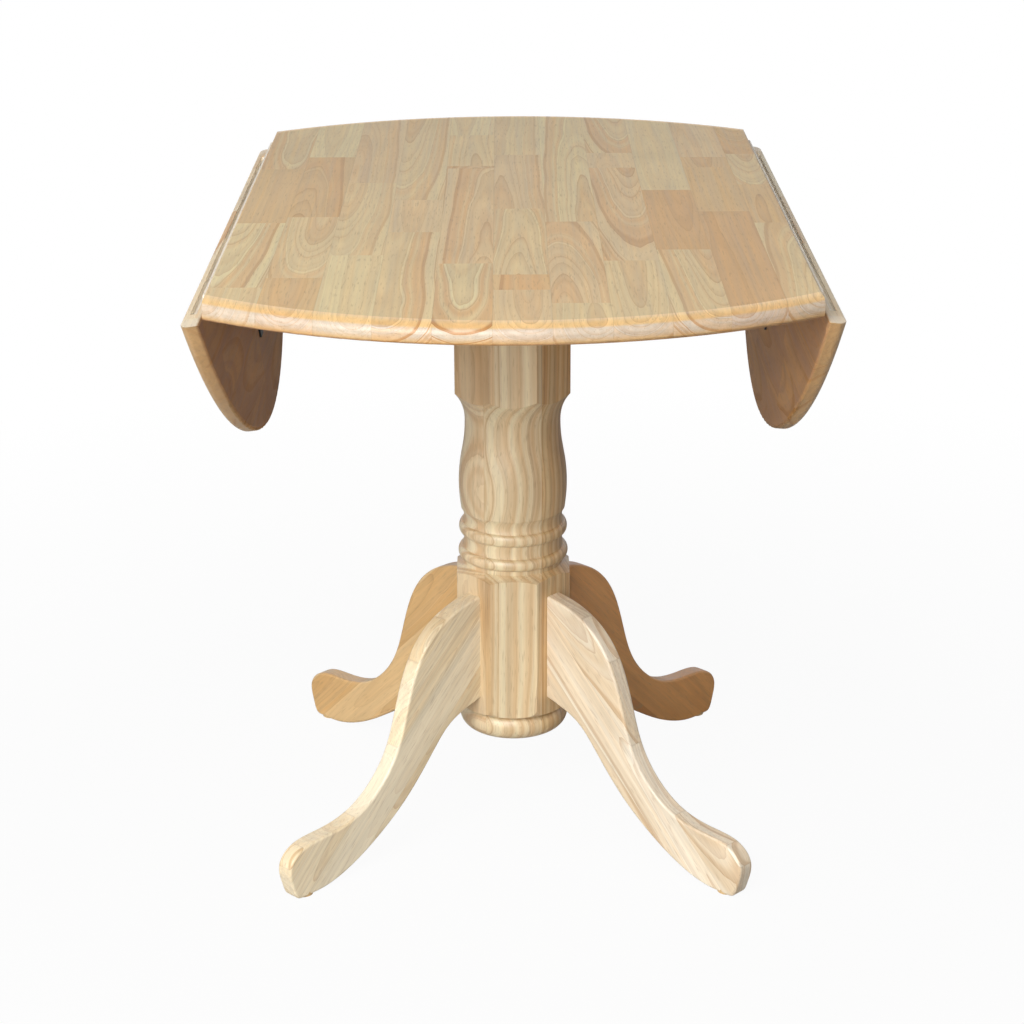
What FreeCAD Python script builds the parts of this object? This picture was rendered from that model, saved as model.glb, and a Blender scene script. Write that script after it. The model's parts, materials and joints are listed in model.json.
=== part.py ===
import FreeCAD, Part
import os
import Sketcher

# Round drop-leaf dining table on a turned pedestal with four sawn legs.
# Millimetres and degrees, +Z up, origin on the floor under the middle of the top.
# The seams of the top run along Y, so one leaf hangs at -X and the other at +X.

# Driving sizes
SIZES = {
    # Whole table
    "total_height": 762.0,
    "top_diameter": 1066.8,
    "panel_width": 615.0,
    "leaf_gap": 1.0,
    "left_hang": 97.6,
    "right_hang": 95.7,
    # Edges of the top and of the leaves
    "top_thickness": 20.0,
    "rim_top_inset": 16.5,
    "rim_top_drop": 9.5,
    "rim_under_round": 3.5,
    "seam_round": 2.5,
    "tongue_thickness": 5.5,
    "tongue_reach": 4.5,
    "tongue_end_margin": 50.0,
    "groove_side_play": 0.75,
    "groove_depth_play": 0.7,
    "groove_end_play": 3.0,
    # Column, from the bottom upwards
    "block_width": 136.0,
    "block_edge_round": 1.5,
    "column_bottom_height": 105.0,
    "foot_bottom_radius": 50.0,
    "foot_bead_length": 30.0,
    "foot_bead_radius": 66.0,
    "foot_groove_width": 3.0,
    "foot_groove_radius": 60.0,
    "block_end_round": 18.0,
    "block_end_radius": 63.5,
    "lower_block_length": 175.0,
    "shoulder_length": 14.2,
    "shoulder_radius": 60.3,
    "lower_ring_width": 14.6,
    "lower_ring_radius": 66.2,
    "ring_gap": 16.4,
    "ring_gap_radius": 59.3,
    "upper_ring_width": 14.6,
    "upper_ring_radius": 65.2,
    "vase_groove_width": 17.2,
    "vase_groove_radius": 59.0,
    "vase_length": 110.0,
    "vase_foot_radius": 62.5,
    "belly_radius": 65.0,
    "neck_length": 39.5,
    "neck_radius": 57.0,
    "bore_radius": 31.0,
    "bore_end_margin": 14.0,
    # Legs
    "leg_thickness": 22.0,
    "leg_reach": 306.0,
    "leg_height": 293.0,
    "leg_edge_round": 3.0,
    "glide_proud": 1.0,
    "glide_radius": 11.0,
    "glide_thickness": 5.0,
    # Bolts that hold the legs
    "leg_bolt_radius": 4.0,
    "leg_bolt_grip": 46.0,
    "leg_bolt_overhang": 4.0,
    "leg_bolt_low": 190.0,
    "leg_bolt_spacing": 62.0,
    "leg_nut_thickness": 6.5,
    "leg_nut_width": 13.0,
    "leg_washer_radius": 8.0,
    "leg_washer_thickness": 1.6,
    # Steel plate between the column and the top
    "plate_width": 180.0,
    "plate_thickness": 4.0,
    "plate_corner_round": 12.0,
    "plate_bolt_inset": 16.0,
    "plate_bolt_radius": 3.0,
    "plate_bolt_length": 14.0,
    "plate_bolt_head_radius": 5.5,
    "plate_bolt_head_thickness": 4.0,
    "insert_radius": 5.0,
    "insert_length": 13.0,
    "column_screw_circle": 44.0,
    "column_screw_radius": 3.0,
    "column_screw_head_radius": 5.6,
    "column_screw_length": 70.0,
    # Leaf hinges
    "hinge_offset": 250.0,
    "hinge_length": 60.0,
    "hinge_plate_width": 36.0,
    "hinge_plate_thickness": 1.6,
    "hinge_plate_round": 6.0,
    "knuckle_radius": 3.7,
    "knuckle_clearance": 0.3,
    "knuckle_play": 0.15,
    "pin_radius": 2.0,
    "pin_fit": 0.05,
    "wood_screw_radius": 1.75,
    "wood_screw_head_radius": 3.2,
    "wood_screw_length": 15.0,
    "screw_fit": 0.05,
    "screw_end_play": 1.0,
    # Folding stays
    "stay_panel_reach": 70.0,
    "stay_leaf_reach": 105.0,
    "stay_pivot_drop": 14.0,
    "stay_strip_width": 16.0,
    "stay_strip_thickness": 2.5,
    "stay_strip_gap": 0.3,
    "stay_flange_width": 22.0,
    "stay_flange_length": 46.0,
    "stay_tail_reach": 26.5,
    "stay_screw_inset": 10.0,
    "rivet_radius": 3.0,
    "rivet_head_radius": 5.5,
    "rivet_head_thickness": 1.5,
    "rivet_fit": 0.05,
}

# Poles of the sawn leg's outline: outwards as shares of the reach, upwards of the height
LEG_TOP_SHARES = [
    (0.0, 1.0), (0.128, 0.990), (0.296, 0.900), (0.384, 0.690), (0.432, 0.482),
    (0.524, 0.345), (0.652, 0.251), (0.796, 0.227), (0.945, 0.232), (1.025, 0.151),
    (0.992, 0.055),
]
LEG_UNDER_SHARES = [
    (0.508, 0.142), (0.357, 0.278), (0.250, 0.405), (0.163, 0.505), (0.065, 0.530), (0.0, 0.548),
]
SOLE_SHARES = (0.762, 0.882, 0.952, 0.980)

# Where a pole lies between the start of a quarter of an ellipse and its corner
QUARTER_POLE_SHARE = 4 / 3 * (2 ** 0.5 - 1)
# How far a curve's two poles stand out for its middle to reach the crown
CROWN_POLE_SHARE = 4 / 3
# Where the straight part of the shoulder ends, and where the foot's bead is widest
SHOULDER_SHARE = 0.6
BEAD_MIDDLE_SHARE = 0.45
# Lengths under this count as nothing when edges are picked
PICK_LIMIT = 1e-6

# Poles of the vase between its groove and the neck: shares of its length and of the belly's swell
VASE_SHARES = [(0.164, 1.0), (0.382, 1.06), (0.618, 0.625), (0.818, 0.0)]
# Poles of the neck's cove: shares of its length and of its sweep out to the block's corners
COVE_SHARES = [(0.405, 0.012), (0.709, 0.331)]

# Heights and places that follow from the sizes
UNDERSIDE = "(Sizes.total_height - Sizes.top_thickness)"
COLUMN_TOP = f"({UNDERSIDE} - Sizes.plate_thickness)"
TOP_RADIUS = "(Sizes.top_diameter / 2)"
BLOCK_HALF = "(Sizes.block_width / 2)"
BLOCK_SIDE_HALF = f"({BLOCK_HALF} * tan(22.5))"
BLOCK_CORNER = f"({BLOCK_HALF} / cos(22.5))"
SEAM_HALF = f"sqrt({TOP_RADIUS} ^ 2 - (Sizes.panel_width / 2) ^ 2)"
TONGUE_HALF = f"({SEAM_HALF} - Sizes.tongue_end_margin)"
PIN_DROP = "(Sizes.knuckle_radius + Sizes.knuckle_clearance)"
HINGE_OUT = "(Sizes.panel_width / 2 + Sizes.leaf_gap / 2)"
HINGE_HEIGHT = f"({UNDERSIDE} - {PIN_DROP})"
HINGE_FACE = f"({PIN_DROP} - Sizes.hinge_plate_thickness)"
SCREW_HOLE = "(Sizes.wood_screw_radius + Sizes.screw_fit)"
COUNTERSINK = "(Sizes.wood_screw_head_radius - Sizes.wood_screw_radius)"
LAYER_INNER = "(Sizes.stay_strip_gap / 2)"
LAYER_OUTER = f"({LAYER_INNER} + Sizes.stay_strip_thickness)"
STAY_FACE = f"({PIN_DROP} - Sizes.stay_strip_thickness)"

document = FreeCAD.newDocument("DropLeafTable")
sheet = document.addObject("Spreadsheet::Sheet", "Sizes")
for row, (alias, amount) in enumerate(SIZES.items(), start=1):
    sheet.set(f"A{row}", alias)
    sheet.set(f"B{row}", str(amount))
    sheet.setAlias(f"B{row}", alias)
document.recompute()

parts = []


def value(expression):
    """Work out an expression on the sheet's sizes as a plain number."""
    result = sheet.evalExpression(str(expression))
    return float(getattr(result, "Value", result))


def point(across, up):
    """Give the starting place of a sketch point held by two expressions."""
    return FreeCAD.Vector(value(across), value(up), 0)


def new_body(name, placement=None):
    """Start one piece of the table, placed by an expression on the sizes."""
    body = document.addObject("PartDesign::Body", name)
    body.Label = name
    body.AllowCompound = True
    if placement:
        body.setExpression("Placement", placement)
    parts.append(body)
    return body


def origin_part(body, role):
    """Find one of the body's own origin planes or axes."""
    return next(item for item in body.Origin.OriginFeatures if item.Role == role)


def new_sketch(body, plane, lift="0", across="0"):
    """Start a sketch on an origin plane, lifted off it and moved across it."""
    sketch = body.newObject("Sketcher::SketchObject", f"{body.Name}_sketch")
    sketch.AttachmentSupport = [(origin_part(body, plane), "")]
    sketch.MapMode = "FlatFace"
    sketch.setExpression("AttachmentOffset.Base.x", str(across))
    sketch.setExpression("AttachmentOffset.Base.z", str(lift))
    return sketch


def hold(sketch, geometry, corner, across, up):
    """Hold one point of a sketch at two expressions from the origin."""
    place = point(across, up)
    for kind, amount, expression in (("DistanceX", place.x, across), ("DistanceY", place.y, up)):
        index = sketch.addConstraint(Sketcher.Constraint(kind, -1, 1, geometry, corner, amount))
        sketch.setExpression(f"Constraints[{index}]", str(expression))


def add_line(sketch, start, end):
    """Add a straight side whose start is held; its end meets the next side."""
    index = sketch.addGeometry(Part.LineSegment(point(*start), point(*end)))
    hold(sketch, index, 1, *start)
    return index, 1, 2


def add_arc(sketch, start, middle, end):
    """Add an arc through a held middle point; a sketch keeps its arcs anticlockwise."""
    places = [point(*start), point(*middle), point(*end)]
    anticlockwise = (places[1] - places[0]).cross(places[2] - places[0]).z > 0
    if not anticlockwise:
        places.reverse()
    index = sketch.addGeometry(Part.Arc(*places))
    first, last = (1, 2) if anticlockwise else (2, 1)
    hold(sketch, index, first, *start)
    marker = sketch.addGeometry(Part.Point(point(*middle)), True)
    hold(sketch, marker, 1, *middle)
    sketch.addConstraint(Sketcher.Constraint("PointOnObject", marker, 1, index))
    return index, first, last


def add_curve(sketch, *poles):
    """Add a smooth curve whose poles are held, but for the last, which meets the next side."""
    curve = Part.BSplineCurve()
    curve.buildFromPoles([point(*pole) for pole in poles])
    index = sketch.addGeometry(curve)
    sketch.exposeInternalGeometry(index)
    for offset, pole in enumerate(poles[:-1], start=1):
        hold(sketch, index + offset, 3, *pole)
    return index, 1, 2


def outline(sketch, *sides):
    """Close an outline: two points are a line, three an arc, more a curve by its poles."""
    makers = {2: add_line, 3: add_arc}
    made = [makers.get(len(side), add_curve)(sketch, *side) for side in sides]
    for (this, _, last), (following, first, _) in zip(made, made[1:] + made[:1]):
        sketch.addConstraint(Sketcher.Constraint("Coincident", this, last, following, first))


def polygon(sketch, *corners):
    """Close an outline of straight sides."""
    outline(sketch, *zip(corners, corners[1:] + corners[:1]))


def rectangle(sketch, left, right, low, high):
    """Draw an upright rectangle between four expressions."""
    polygon(sketch, (left, low), (right, low), (right, high), (left, high))


def circles(sketch, radius, centres):
    """Draw equal circles at held centres."""
    for centre in centres:
        index = sketch.addGeometry(Part.Circle(point(*centre), FreeCAD.Vector(0, 0, 1), value(radius)))
        limit = sketch.addConstraint(Sketcher.Constraint("Radius", index, value(radius)))
        sketch.setExpression(f"Constraints[{limit}]", str(radius))
        hold(sketch, index, 3, *centre)


def pad(sketch, length, midplane=False, backwards=False, taper=0):
    """Extrude a sketch into its body."""
    body = sketch.getParentGeoFeatureGroup()
    feature = body.newObject("PartDesign::Pad", f"{body.Name}_pad")
    feature.Profile = sketch
    feature.setExpression("Length", str(length))
    feature.Midplane = midplane
    feature.Reversed = backwards
    feature.TaperAngle = taper
    document.recompute()
    return feature


def check_cut(body, before):
    """Stop when a cut took nothing away from its body."""
    if body.Shape.isNull() or body.Shape.Volume >= before:
        raise RuntimeError(f"a cut in {body.Label} removes nothing")


def pocket(sketch, length, midplane=False, backwards=False, taper=0):
    """Cut a sketch out of its body, against its plane's normal unless backwards."""
    body = sketch.getParentGeoFeatureGroup()
    before = body.Shape.Volume
    feature = body.newObject("PartDesign::Pocket", f"{body.Name}_pocket")
    feature.Profile = sketch
    feature.setExpression("Length", str(length))
    feature.Midplane = midplane
    feature.Reversed = backwards
    feature.TaperAngle = taper
    document.recompute()
    check_cut(body, before)
    return feature


def revolve(sketch, kind="PartDesign::Revolution"):
    """Turn a sketch a full turn about its own upright axis, adding or grooving."""
    body = sketch.getParentGeoFeatureGroup()
    before = body.Shape.Volume if kind == "PartDesign::Groove" else 0
    feature = body.newObject(kind, f"{body.Name}_turned")
    feature.Profile = sketch
    feature.ReferenceAxis = (sketch, ["V_Axis"])
    feature.Angle = 360
    document.recompute()
    if kind == "PartDesign::Groove":
        check_cut(body, before)
    return feature


def repeat_round(body, features, copies=4):
    """Repeat features evenly about the body's upright axis."""
    pattern = body.newObject("PartDesign::PolarPattern", f"{body.Name}_pattern")
    pattern.Originals = features
    pattern.Axis = (origin_part(body, "Z_Axis"), [""])
    pattern.Angle = 360
    pattern.Occurrences = copies
    body.Tip = pattern
    document.recompute()
    return pattern


def round_edges(body, radius, chosen):
    """Round the edges that the given test picks."""
    base = body.Tip
    names = [f"Edge{n}" for n, edge in enumerate(base.Shape.Edges, start=1) if chosen(edge)]
    feature = body.newObject("PartDesign::Fillet", f"{body.Name}_round")
    feature.Base = (base, names)
    feature.setExpression("Radius", radius)
    document.recompute()
    return feature


def is_upright(edge):
    """Tell whether an edge is a straight one along Z."""
    ends = [vertex.Point for vertex in edge.Vertexes]
    return len(ends) == 2 and (ends[0] - ends[1]).cross(FreeCAD.Vector(0, 0, 1)).Length < PICK_LIMIT


# Column: an octagonal blank with the feet block, the vase and the neck turned out of it,
# bored from below for the nuts that hold the legs
FOOT_TOP = "(Sizes.column_bottom_height + Sizes.foot_bead_length)"
BLOCK_LOW = f"({FOOT_TOP} + Sizes.foot_groove_width)"
BLOCK_HIGH = f"({BLOCK_LOW} + Sizes.lower_block_length)"
RING_LOW = f"({BLOCK_HIGH} + Sizes.shoulder_length)"
RING_LOW_END = f"({RING_LOW} + Sizes.lower_ring_width)"
RING_HIGH = f"({RING_LOW_END} + Sizes.ring_gap)"
RING_HIGH_END = f"({RING_HIGH} + Sizes.upper_ring_width)"
VASE_LOW = f"({RING_HIGH_END} + Sizes.vase_groove_width)"
NECK = f"({VASE_LOW} + Sizes.vase_length)"
NECK_END = f"({NECK} + Sizes.neck_length)"
BORE_END = "(Sizes.leg_bolt_low + Sizes.leg_bolt_spacing + Sizes.leg_washer_radius + Sizes.bore_end_margin)"


def ring_side(low, high, base_radius, crown_radius):
    """Give the four poles of a turned ring whose crown stands at the given radius."""
    pole = f"({base_radius} + ({crown_radius} - {base_radius}) * {CROWN_POLE_SHARE})"
    return [(base_radius, low), (pole, low), (pole, high), (base_radius, high)]


def turned_stretch():
    """Give the sides of the waste turned away between the two blocks, from below upwards."""
    ring_foot = "Sizes.shoulder_radius"
    ring_top = "Sizes.ring_gap_radius"
    gap_middle = f"({RING_LOW_END} + Sizes.ring_gap / 2)"
    groove_middle = f"({RING_HIGH_END} + Sizes.vase_groove_width / 2)"
    groove_foot = "((Sizes.vase_groove_radius + Sizes.ring_gap_radius) / 2)"
    swell = "(Sizes.belly_radius - Sizes.neck_radius)"
    sweep = f"({BLOCK_CORNER} - Sizes.neck_radius)"
    vase = [("Sizes.vase_foot_radius", VASE_LOW)]
    for rise_share, swell_share in VASE_SHARES:
        vase.append((f"(Sizes.neck_radius + {swell} * {swell_share})",
                     f"({VASE_LOW} + Sizes.vase_length * {rise_share})"))
    vase.append(("Sizes.neck_radius", NECK))
    cove = [("Sizes.neck_radius", NECK)]
    for rise_share, sweep_share in COVE_SHARES:
        cove.append((f"(Sizes.neck_radius + {sweep} * {sweep_share})",
                     f"({NECK} + Sizes.neck_length * {rise_share})"))
    cove.append((BLOCK_CORNER, NECK_END))
    return [
        [(BLOCK_CORNER, BLOCK_HIGH), (ring_foot, f"({BLOCK_HIGH} + Sizes.shoulder_length * {SHOULDER_SHARE})")],
        [(ring_foot, f"({BLOCK_HIGH} + Sizes.shoulder_length * {SHOULDER_SHARE})"), (ring_foot, RING_LOW)],
        ring_side(RING_LOW, RING_LOW_END, ring_foot, "Sizes.lower_ring_radius"),
        [(ring_foot, RING_LOW_END), (ring_top, gap_middle), (ring_foot, RING_HIGH)],
        ring_side(RING_HIGH, RING_HIGH_END, ring_foot, "Sizes.upper_ring_radius"),
        [(ring_foot, RING_HIGH_END), (groove_foot, groove_middle), ("Sizes.vase_foot_radius", VASE_LOW)],
        vase,
        cove,
    ]


def make_column():
    """Build the column, bored and drilled, with its flats towards the legs."""
    body = new_body("column", "placement(vector(0; 0; 0); rotationz(45))")
    blank = new_sketch(body, "XY_Plane", lift="Sizes.column_bottom_height")
    far, near = BLOCK_HALF, BLOCK_SIDE_HALF
    polygon(blank, (far, f"-{near}"), (far, near), (near, far), (f"-{near}", far),
            (f"-{far}", near), (f"-{far}", f"-{near}"), (f"-{near}", f"-{far}"), (near, f"-{far}"))
    pad(blank, f"{COLUMN_TOP} - Sizes.column_bottom_height")
    round_edges(body, "Sizes.block_edge_round", is_upright)

    clear = f"({BLOCK_CORNER} + Sizes.neck_length)"
    waste = new_sketch(body, "XZ_Plane")
    outline(waste, *turned_stretch(),
            [(BLOCK_CORNER, NECK_END), (clear, NECK_END)],
            [(clear, NECK_END), (clear, BLOCK_HIGH)],
            [(clear, BLOCK_HIGH), (BLOCK_CORNER, BLOCK_HIGH)])
    revolve(waste, "PartDesign::Groove")

    foot = new_sketch(body, "XZ_Plane")
    bead_middle = f"(Sizes.column_bottom_height + Sizes.foot_bead_length * {BEAD_MIDDLE_SHARE})"
    round_top = f"({BLOCK_LOW} + Sizes.block_end_round)"
    outline(foot,
            [("Sizes.foot_bottom_radius", "Sizes.column_bottom_height"),
             ("Sizes.foot_bead_radius", bead_middle), ("Sizes.foot_groove_radius", FOOT_TOP)],
            [("Sizes.foot_groove_radius", FOOT_TOP), ("Sizes.foot_groove_radius", BLOCK_LOW)],
            [("Sizes.foot_groove_radius", BLOCK_LOW), ("Sizes.block_end_radius", BLOCK_LOW)],
            [("Sizes.block_end_radius", BLOCK_LOW), (BLOCK_CORNER, BLOCK_LOW),
             (BLOCK_CORNER, f"({BLOCK_LOW} + Sizes.block_end_round / 2)"), (BLOCK_CORNER, round_top)],
            [(BLOCK_CORNER, round_top), (clear, round_top)],
            [(clear, round_top), (clear, "Sizes.column_bottom_height")],
            [(clear, "Sizes.column_bottom_height"),
             ("Sizes.foot_bottom_radius", "Sizes.column_bottom_height")])
    revolve(foot, "PartDesign::Groove")

    bore = new_sketch(body, "XY_Plane", lift="Sizes.column_bottom_height")
    circles(bore, "Sizes.bore_radius", [("0", "0")])
    pocket(bore, f"{BORE_END} - Sizes.column_bottom_height", backwards=True)
    for plane in ("XZ_Plane", "YZ_Plane"):
        drill = new_sketch(body, plane)
        circles(drill, "Sizes.leg_bolt_radius + Sizes.screw_fit", leg_bolt_places())
        pocket(drill, f"2 * {BLOCK_CORNER}", midplane=True)
    pilots = new_sketch(body, "XY_Plane", lift=COLUMN_TOP)
    circles(pilots, "Sizes.column_screw_radius + Sizes.screw_fit", column_screw_places())
    pocket(pilots, "Sizes.column_screw_length - Sizes.plate_thickness + Sizes.screw_end_play")


def leg_bolt_places():
    """Give the two bolt heights of every leg."""
    return [("0", "Sizes.leg_bolt_low"), ("0", "Sizes.leg_bolt_low + Sizes.leg_bolt_spacing")]


def column_screw_places():
    """Give the four screws of the plate into the column's end."""
    circle = "Sizes.column_screw_circle"
    return [(circle, "0"), ("0", circle), (f"-{circle}", "0"), ("0", f"-{circle}")]


# Legs: flat boards sawn to an S, one on each diagonal flat of the column
LEG_TURNS = {"front_left_leg": 225, "front_right_leg": 315, "rear_right_leg": 45, "rear_left_leg": 135}
GLIDE_OUT = f"({BLOCK_HALF} + Sizes.leg_reach * {(SOLE_SHARES[1] + SOLE_SHARES[2]) / 2})"


def leg_place(out_share, up_share):
    """Turn one pair of leg shares into a place on the leg's side."""
    return f"({BLOCK_HALF} + Sizes.leg_reach * {out_share})", f"(Sizes.leg_height * {up_share})"


def make_leg(name, turn):
    """Build one leg with its bolt holes and the recess of its glide."""
    body = new_body(name, f"placement(vector(0; 0; 0); rotationz({turn}))")
    side = new_sketch(body, "XZ_Plane")
    sole = [(leg_place(share, 0)[0], "Sizes.glide_proud") for share in SOLE_SHARES]
    top = [leg_place(*share) for share in LEG_TOP_SHARES] + [sole[3], sole[2]]
    under = [sole[1], sole[0]] + [leg_place(*share) for share in LEG_UNDER_SHARES]
    outline(side, top, [sole[2], sole[1]], under, [under[-1], top[0]])
    pad(side, "Sizes.leg_thickness", midplane=True)
    inner = value(BLOCK_HALF)

    def is_long_edge(edge):
        return edge.BoundBox.YLength < PICK_LIMIT and edge.BoundBox.XMax > inner + PICK_LIMIT

    round_edges(body, "Sizes.leg_edge_round", is_long_edge)
    drill = new_sketch(body, "YZ_Plane", lift=BLOCK_HALF)
    circles(drill, "Sizes.leg_bolt_radius + Sizes.screw_fit", leg_bolt_places())
    pocket(drill, "Sizes.leg_bolt_grip + Sizes.screw_end_play", backwards=True)
    recess = new_sketch(body, "XY_Plane")
    circles(recess, "Sizes.glide_radius + Sizes.screw_fit", [(GLIDE_OUT, "0")])
    pocket(recess, "Sizes.glide_thickness", backwards=True)


def make_glides():
    """Build the four nylon glides that the table stands on."""
    body = new_body("foot_glides", "placement(vector(0; 0; 0); rotationz(45))")
    disc = new_sketch(body, "XY_Plane")
    circles(disc, "Sizes.glide_radius", [(GLIDE_OUT, "0")])
    repeat_round(body, [pad(disc, "Sizes.glide_thickness")])


def make_leg_bolts():
    """Build the studs from the column's bore into the legs."""
    body = new_body("leg_hanger_bolts", "placement(vector(0; 0; 0); rotationz(45))")
    seat = f"({BORE_WALL} - Sizes.leg_washer_thickness - Sizes.leg_nut_thickness)"
    start = f"({seat} - Sizes.leg_bolt_overhang)"
    stud = new_sketch(body, "YZ_Plane", lift=start)
    circles(stud, "Sizes.leg_bolt_radius", leg_bolt_places())
    repeat_round(body, [pad(stud, f"{BLOCK_HALF} + Sizes.leg_bolt_grip - {start}")])


# A flat washer touches the round bore with its two edges, a little inside the bore's wall
BORE_WALL = "sqrt(Sizes.bore_radius ^ 2 - Sizes.leg_washer_radius ^ 2)"


def make_leg_washers():
    """Build the washers between the bore's wall and the nuts."""
    body = new_body("leg_washers", "placement(vector(0; 0; 0); rotationz(45))")
    ring = new_sketch(body, "YZ_Plane", lift=f"{BORE_WALL} - Sizes.leg_washer_thickness")
    circles(ring, "Sizes.leg_washer_radius", leg_bolt_places())
    circles(ring, "Sizes.leg_bolt_radius + Sizes.screw_fit", leg_bolt_places())
    repeat_round(body, [pad(ring, "Sizes.leg_washer_thickness")])


def make_leg_nuts():
    """Build the hexagon nuts inside the bore."""
    body = new_body("leg_nuts", "placement(vector(0; 0; 0); rotationz(45))")
    lift = f"{BORE_WALL} - Sizes.leg_washer_thickness - Sizes.leg_nut_thickness"
    flats = new_sketch(body, "YZ_Plane", lift=lift)
    half = "(Sizes.leg_nut_width / 2)"
    corner = f"({half} / cos(30))"
    for _, height in leg_bolt_places():
        polygon(flats, (corner, height), (f"{corner} / 2", f"{height} + {half}"),
                (f"-{corner} / 2", f"{height} + {half}"), (f"-{corner}", height),
                (f"-{corner} / 2", f"{height} - {half}"), (f"{corner} / 2", f"{height} - {half}"))
    circles(flats, "Sizes.leg_bolt_radius + Sizes.screw_fit", leg_bolt_places())
    repeat_round(body, [pad(flats, "Sizes.leg_nut_thickness")])


# Steel plate that joins the column to the top
PLATE_HALF = "(Sizes.plate_width / 2)"
PLATE_BOLT = f"({PLATE_HALF} - Sizes.plate_bolt_inset)"
PLATE_SINK = "(Sizes.column_screw_head_radius - Sizes.column_screw_radius)"


def plate_bolt_places():
    """Give the four bolts at the plate's corners."""
    return [(PLATE_BOLT, PLATE_BOLT), (f"-{PLATE_BOLT}", PLATE_BOLT),
            (f"-{PLATE_BOLT}", f"-{PLATE_BOLT}"), (PLATE_BOLT, f"-{PLATE_BOLT}")]


def diagonal_screw_places():
    """Give the column's four screws again in the table's own directions."""
    part = "(Sizes.column_screw_circle * sin(45))"
    return [(part, part), (f"-{part}", part), (f"-{part}", f"-{part}"), (part, f"-{part}")]


def make_plate():
    """Build the mounting plate with its bolt holes and countersunk screw holes."""
    body = new_body("mounting_plate")
    sheet_steel = new_sketch(body, "XY_Plane", lift=COLUMN_TOP)
    rectangle(sheet_steel, f"-{PLATE_HALF}", PLATE_HALF, f"-{PLATE_HALF}", PLATE_HALF)
    pad(sheet_steel, "Sizes.plate_thickness")
    round_edges(body, "Sizes.plate_corner_round", is_upright)
    bolts = new_sketch(body, "XY_Plane", lift=UNDERSIDE)
    circles(bolts, "Sizes.plate_bolt_radius + Sizes.screw_fit", plate_bolt_places())
    circles(bolts, "Sizes.column_screw_radius + Sizes.screw_fit", diagonal_screw_places())
    pocket(bolts, "Sizes.plate_thickness")
    sinks = new_sketch(body, "XY_Plane", lift=UNDERSIDE)
    circles(sinks, "Sizes.column_screw_head_radius + Sizes.screw_fit", diagonal_screw_places())
    pocket(sinks, PLATE_SINK, taper=-45)


def make_column_screws():
    """Build the long countersunk screws from the plate into the column."""
    body = new_body("plate_column_screws")
    shank = new_sketch(body, "XY_Plane", lift=f"{UNDERSIDE} - Sizes.column_screw_length")
    circles(shank, "Sizes.column_screw_radius", diagonal_screw_places())
    pad(shank, "Sizes.column_screw_length")
    head = new_sketch(body, "XY_Plane", lift=UNDERSIDE)
    circles(head, "Sizes.column_screw_head_radius", diagonal_screw_places())
    pad(head, PLATE_SINK, backwards=True, taper=-45)


def make_plate_bolts():
    """Build the bolts from under the plate into the top's inserts."""
    body = new_body("plate_top_bolts")
    shank = new_sketch(body, "XY_Plane", lift=COLUMN_TOP)
    circles(shank, "Sizes.plate_bolt_radius", plate_bolt_places())
    pad(shank, "Sizes.plate_bolt_length")
    head = new_sketch(body, "XY_Plane", lift=COLUMN_TOP)
    circles(head, "Sizes.plate_bolt_head_radius", plate_bolt_places())
    pad(head, "Sizes.plate_bolt_head_thickness", backwards=True)


def make_inserts():
    """Build the threaded inserts let into the top."""
    body = new_body("top_inserts")
    barrel = new_sketch(body, "XY_Plane", lift=UNDERSIDE)
    circles(barrel, "Sizes.insert_radius", plate_bolt_places())
    circles(barrel, "Sizes.plate_bolt_radius + Sizes.screw_fit", plate_bolt_places())
    pad(barrel, "Sizes.insert_length")


# Round top: a revolved disc with a rounded rim, cut at the seams into panel and leaves
ROUND_MIDDLE_SHARE = 1 - 0.5 ** 0.5
SEAM_INSET_SHARE = 0.34


def rim_outline(sketch, low, high):
    """Draw half the section of the round top, from its axis out to its moulded rim."""
    inset, drop, under = "Sizes.rim_top_inset", "Sizes.rim_top_drop", "Sizes.rim_under_round"
    outline(sketch,
            [("0", low), (f"({TOP_RADIUS} - {under})", low)],
            [(f"({TOP_RADIUS} - {under})", low),
             (f"({TOP_RADIUS} - {under} * {ROUND_MIDDLE_SHARE})", f"({low} + {under} * {ROUND_MIDDLE_SHARE})"),
             (TOP_RADIUS, f"({low} + {under})")],
            [(TOP_RADIUS, f"({low} + {under})"), (TOP_RADIUS, f"({high} - {drop})")],
            [(TOP_RADIUS, f"({high} - {drop})"),
             (TOP_RADIUS, f"({high} - {drop} + {drop} * {QUARTER_POLE_SHARE})"),
             (f"({TOP_RADIUS} - {inset} + {inset} * {QUARTER_POLE_SHARE})", high),
             (f"({TOP_RADIUS} - {inset})", high)],
            [(f"({TOP_RADIUS} - {inset})", high), ("0", high)],
            [("0", high), ("0", low)])


def ease_seam(body, edge, direction, level, rise):
    """Round one arris of a seam edge; direction points out at the seam and rise out of the level face."""
    radius = "Sizes.seam_round"
    inner = f"({edge} - {direction} * {radius})"
    middle = f"({edge} - {direction} * {radius} * {SEAM_INSET_SHARE})"
    clear = f"({edge} + {direction} * {radius})"
    start = f"({level} - {rise} * {radius})"
    over = f"({level} + {rise} * {radius})"
    waste = new_sketch(body, "XZ_Plane")
    outline(waste,
            [(edge, start), (middle, f"({level} - {rise} * {radius} * {SEAM_INSET_SHARE})"), (inner, level)],
            [(inner, level), (inner, over)],
            [(inner, over), (clear, over)],
            [(clear, over), (clear, start)],
            [(clear, start), (edge, start)])
    pocket(waste, "Sizes.top_diameter", midplane=True)


def panel_screw_places():
    """Give the hinge and stay screws of the panel, as seen from above."""
    places = []
    for side in (-1, 1):
        for along, out in hinge_screw_places():
            places.append((f"{side} * ({HINGE_OUT} - {out})", f"{side} * ({along})"))
        for out, along in stay_panel_screw_places():
            places.append((f"{side} * ({HINGE_OUT} + {out})", f"{side} * ({along})"))
    return places


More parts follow.
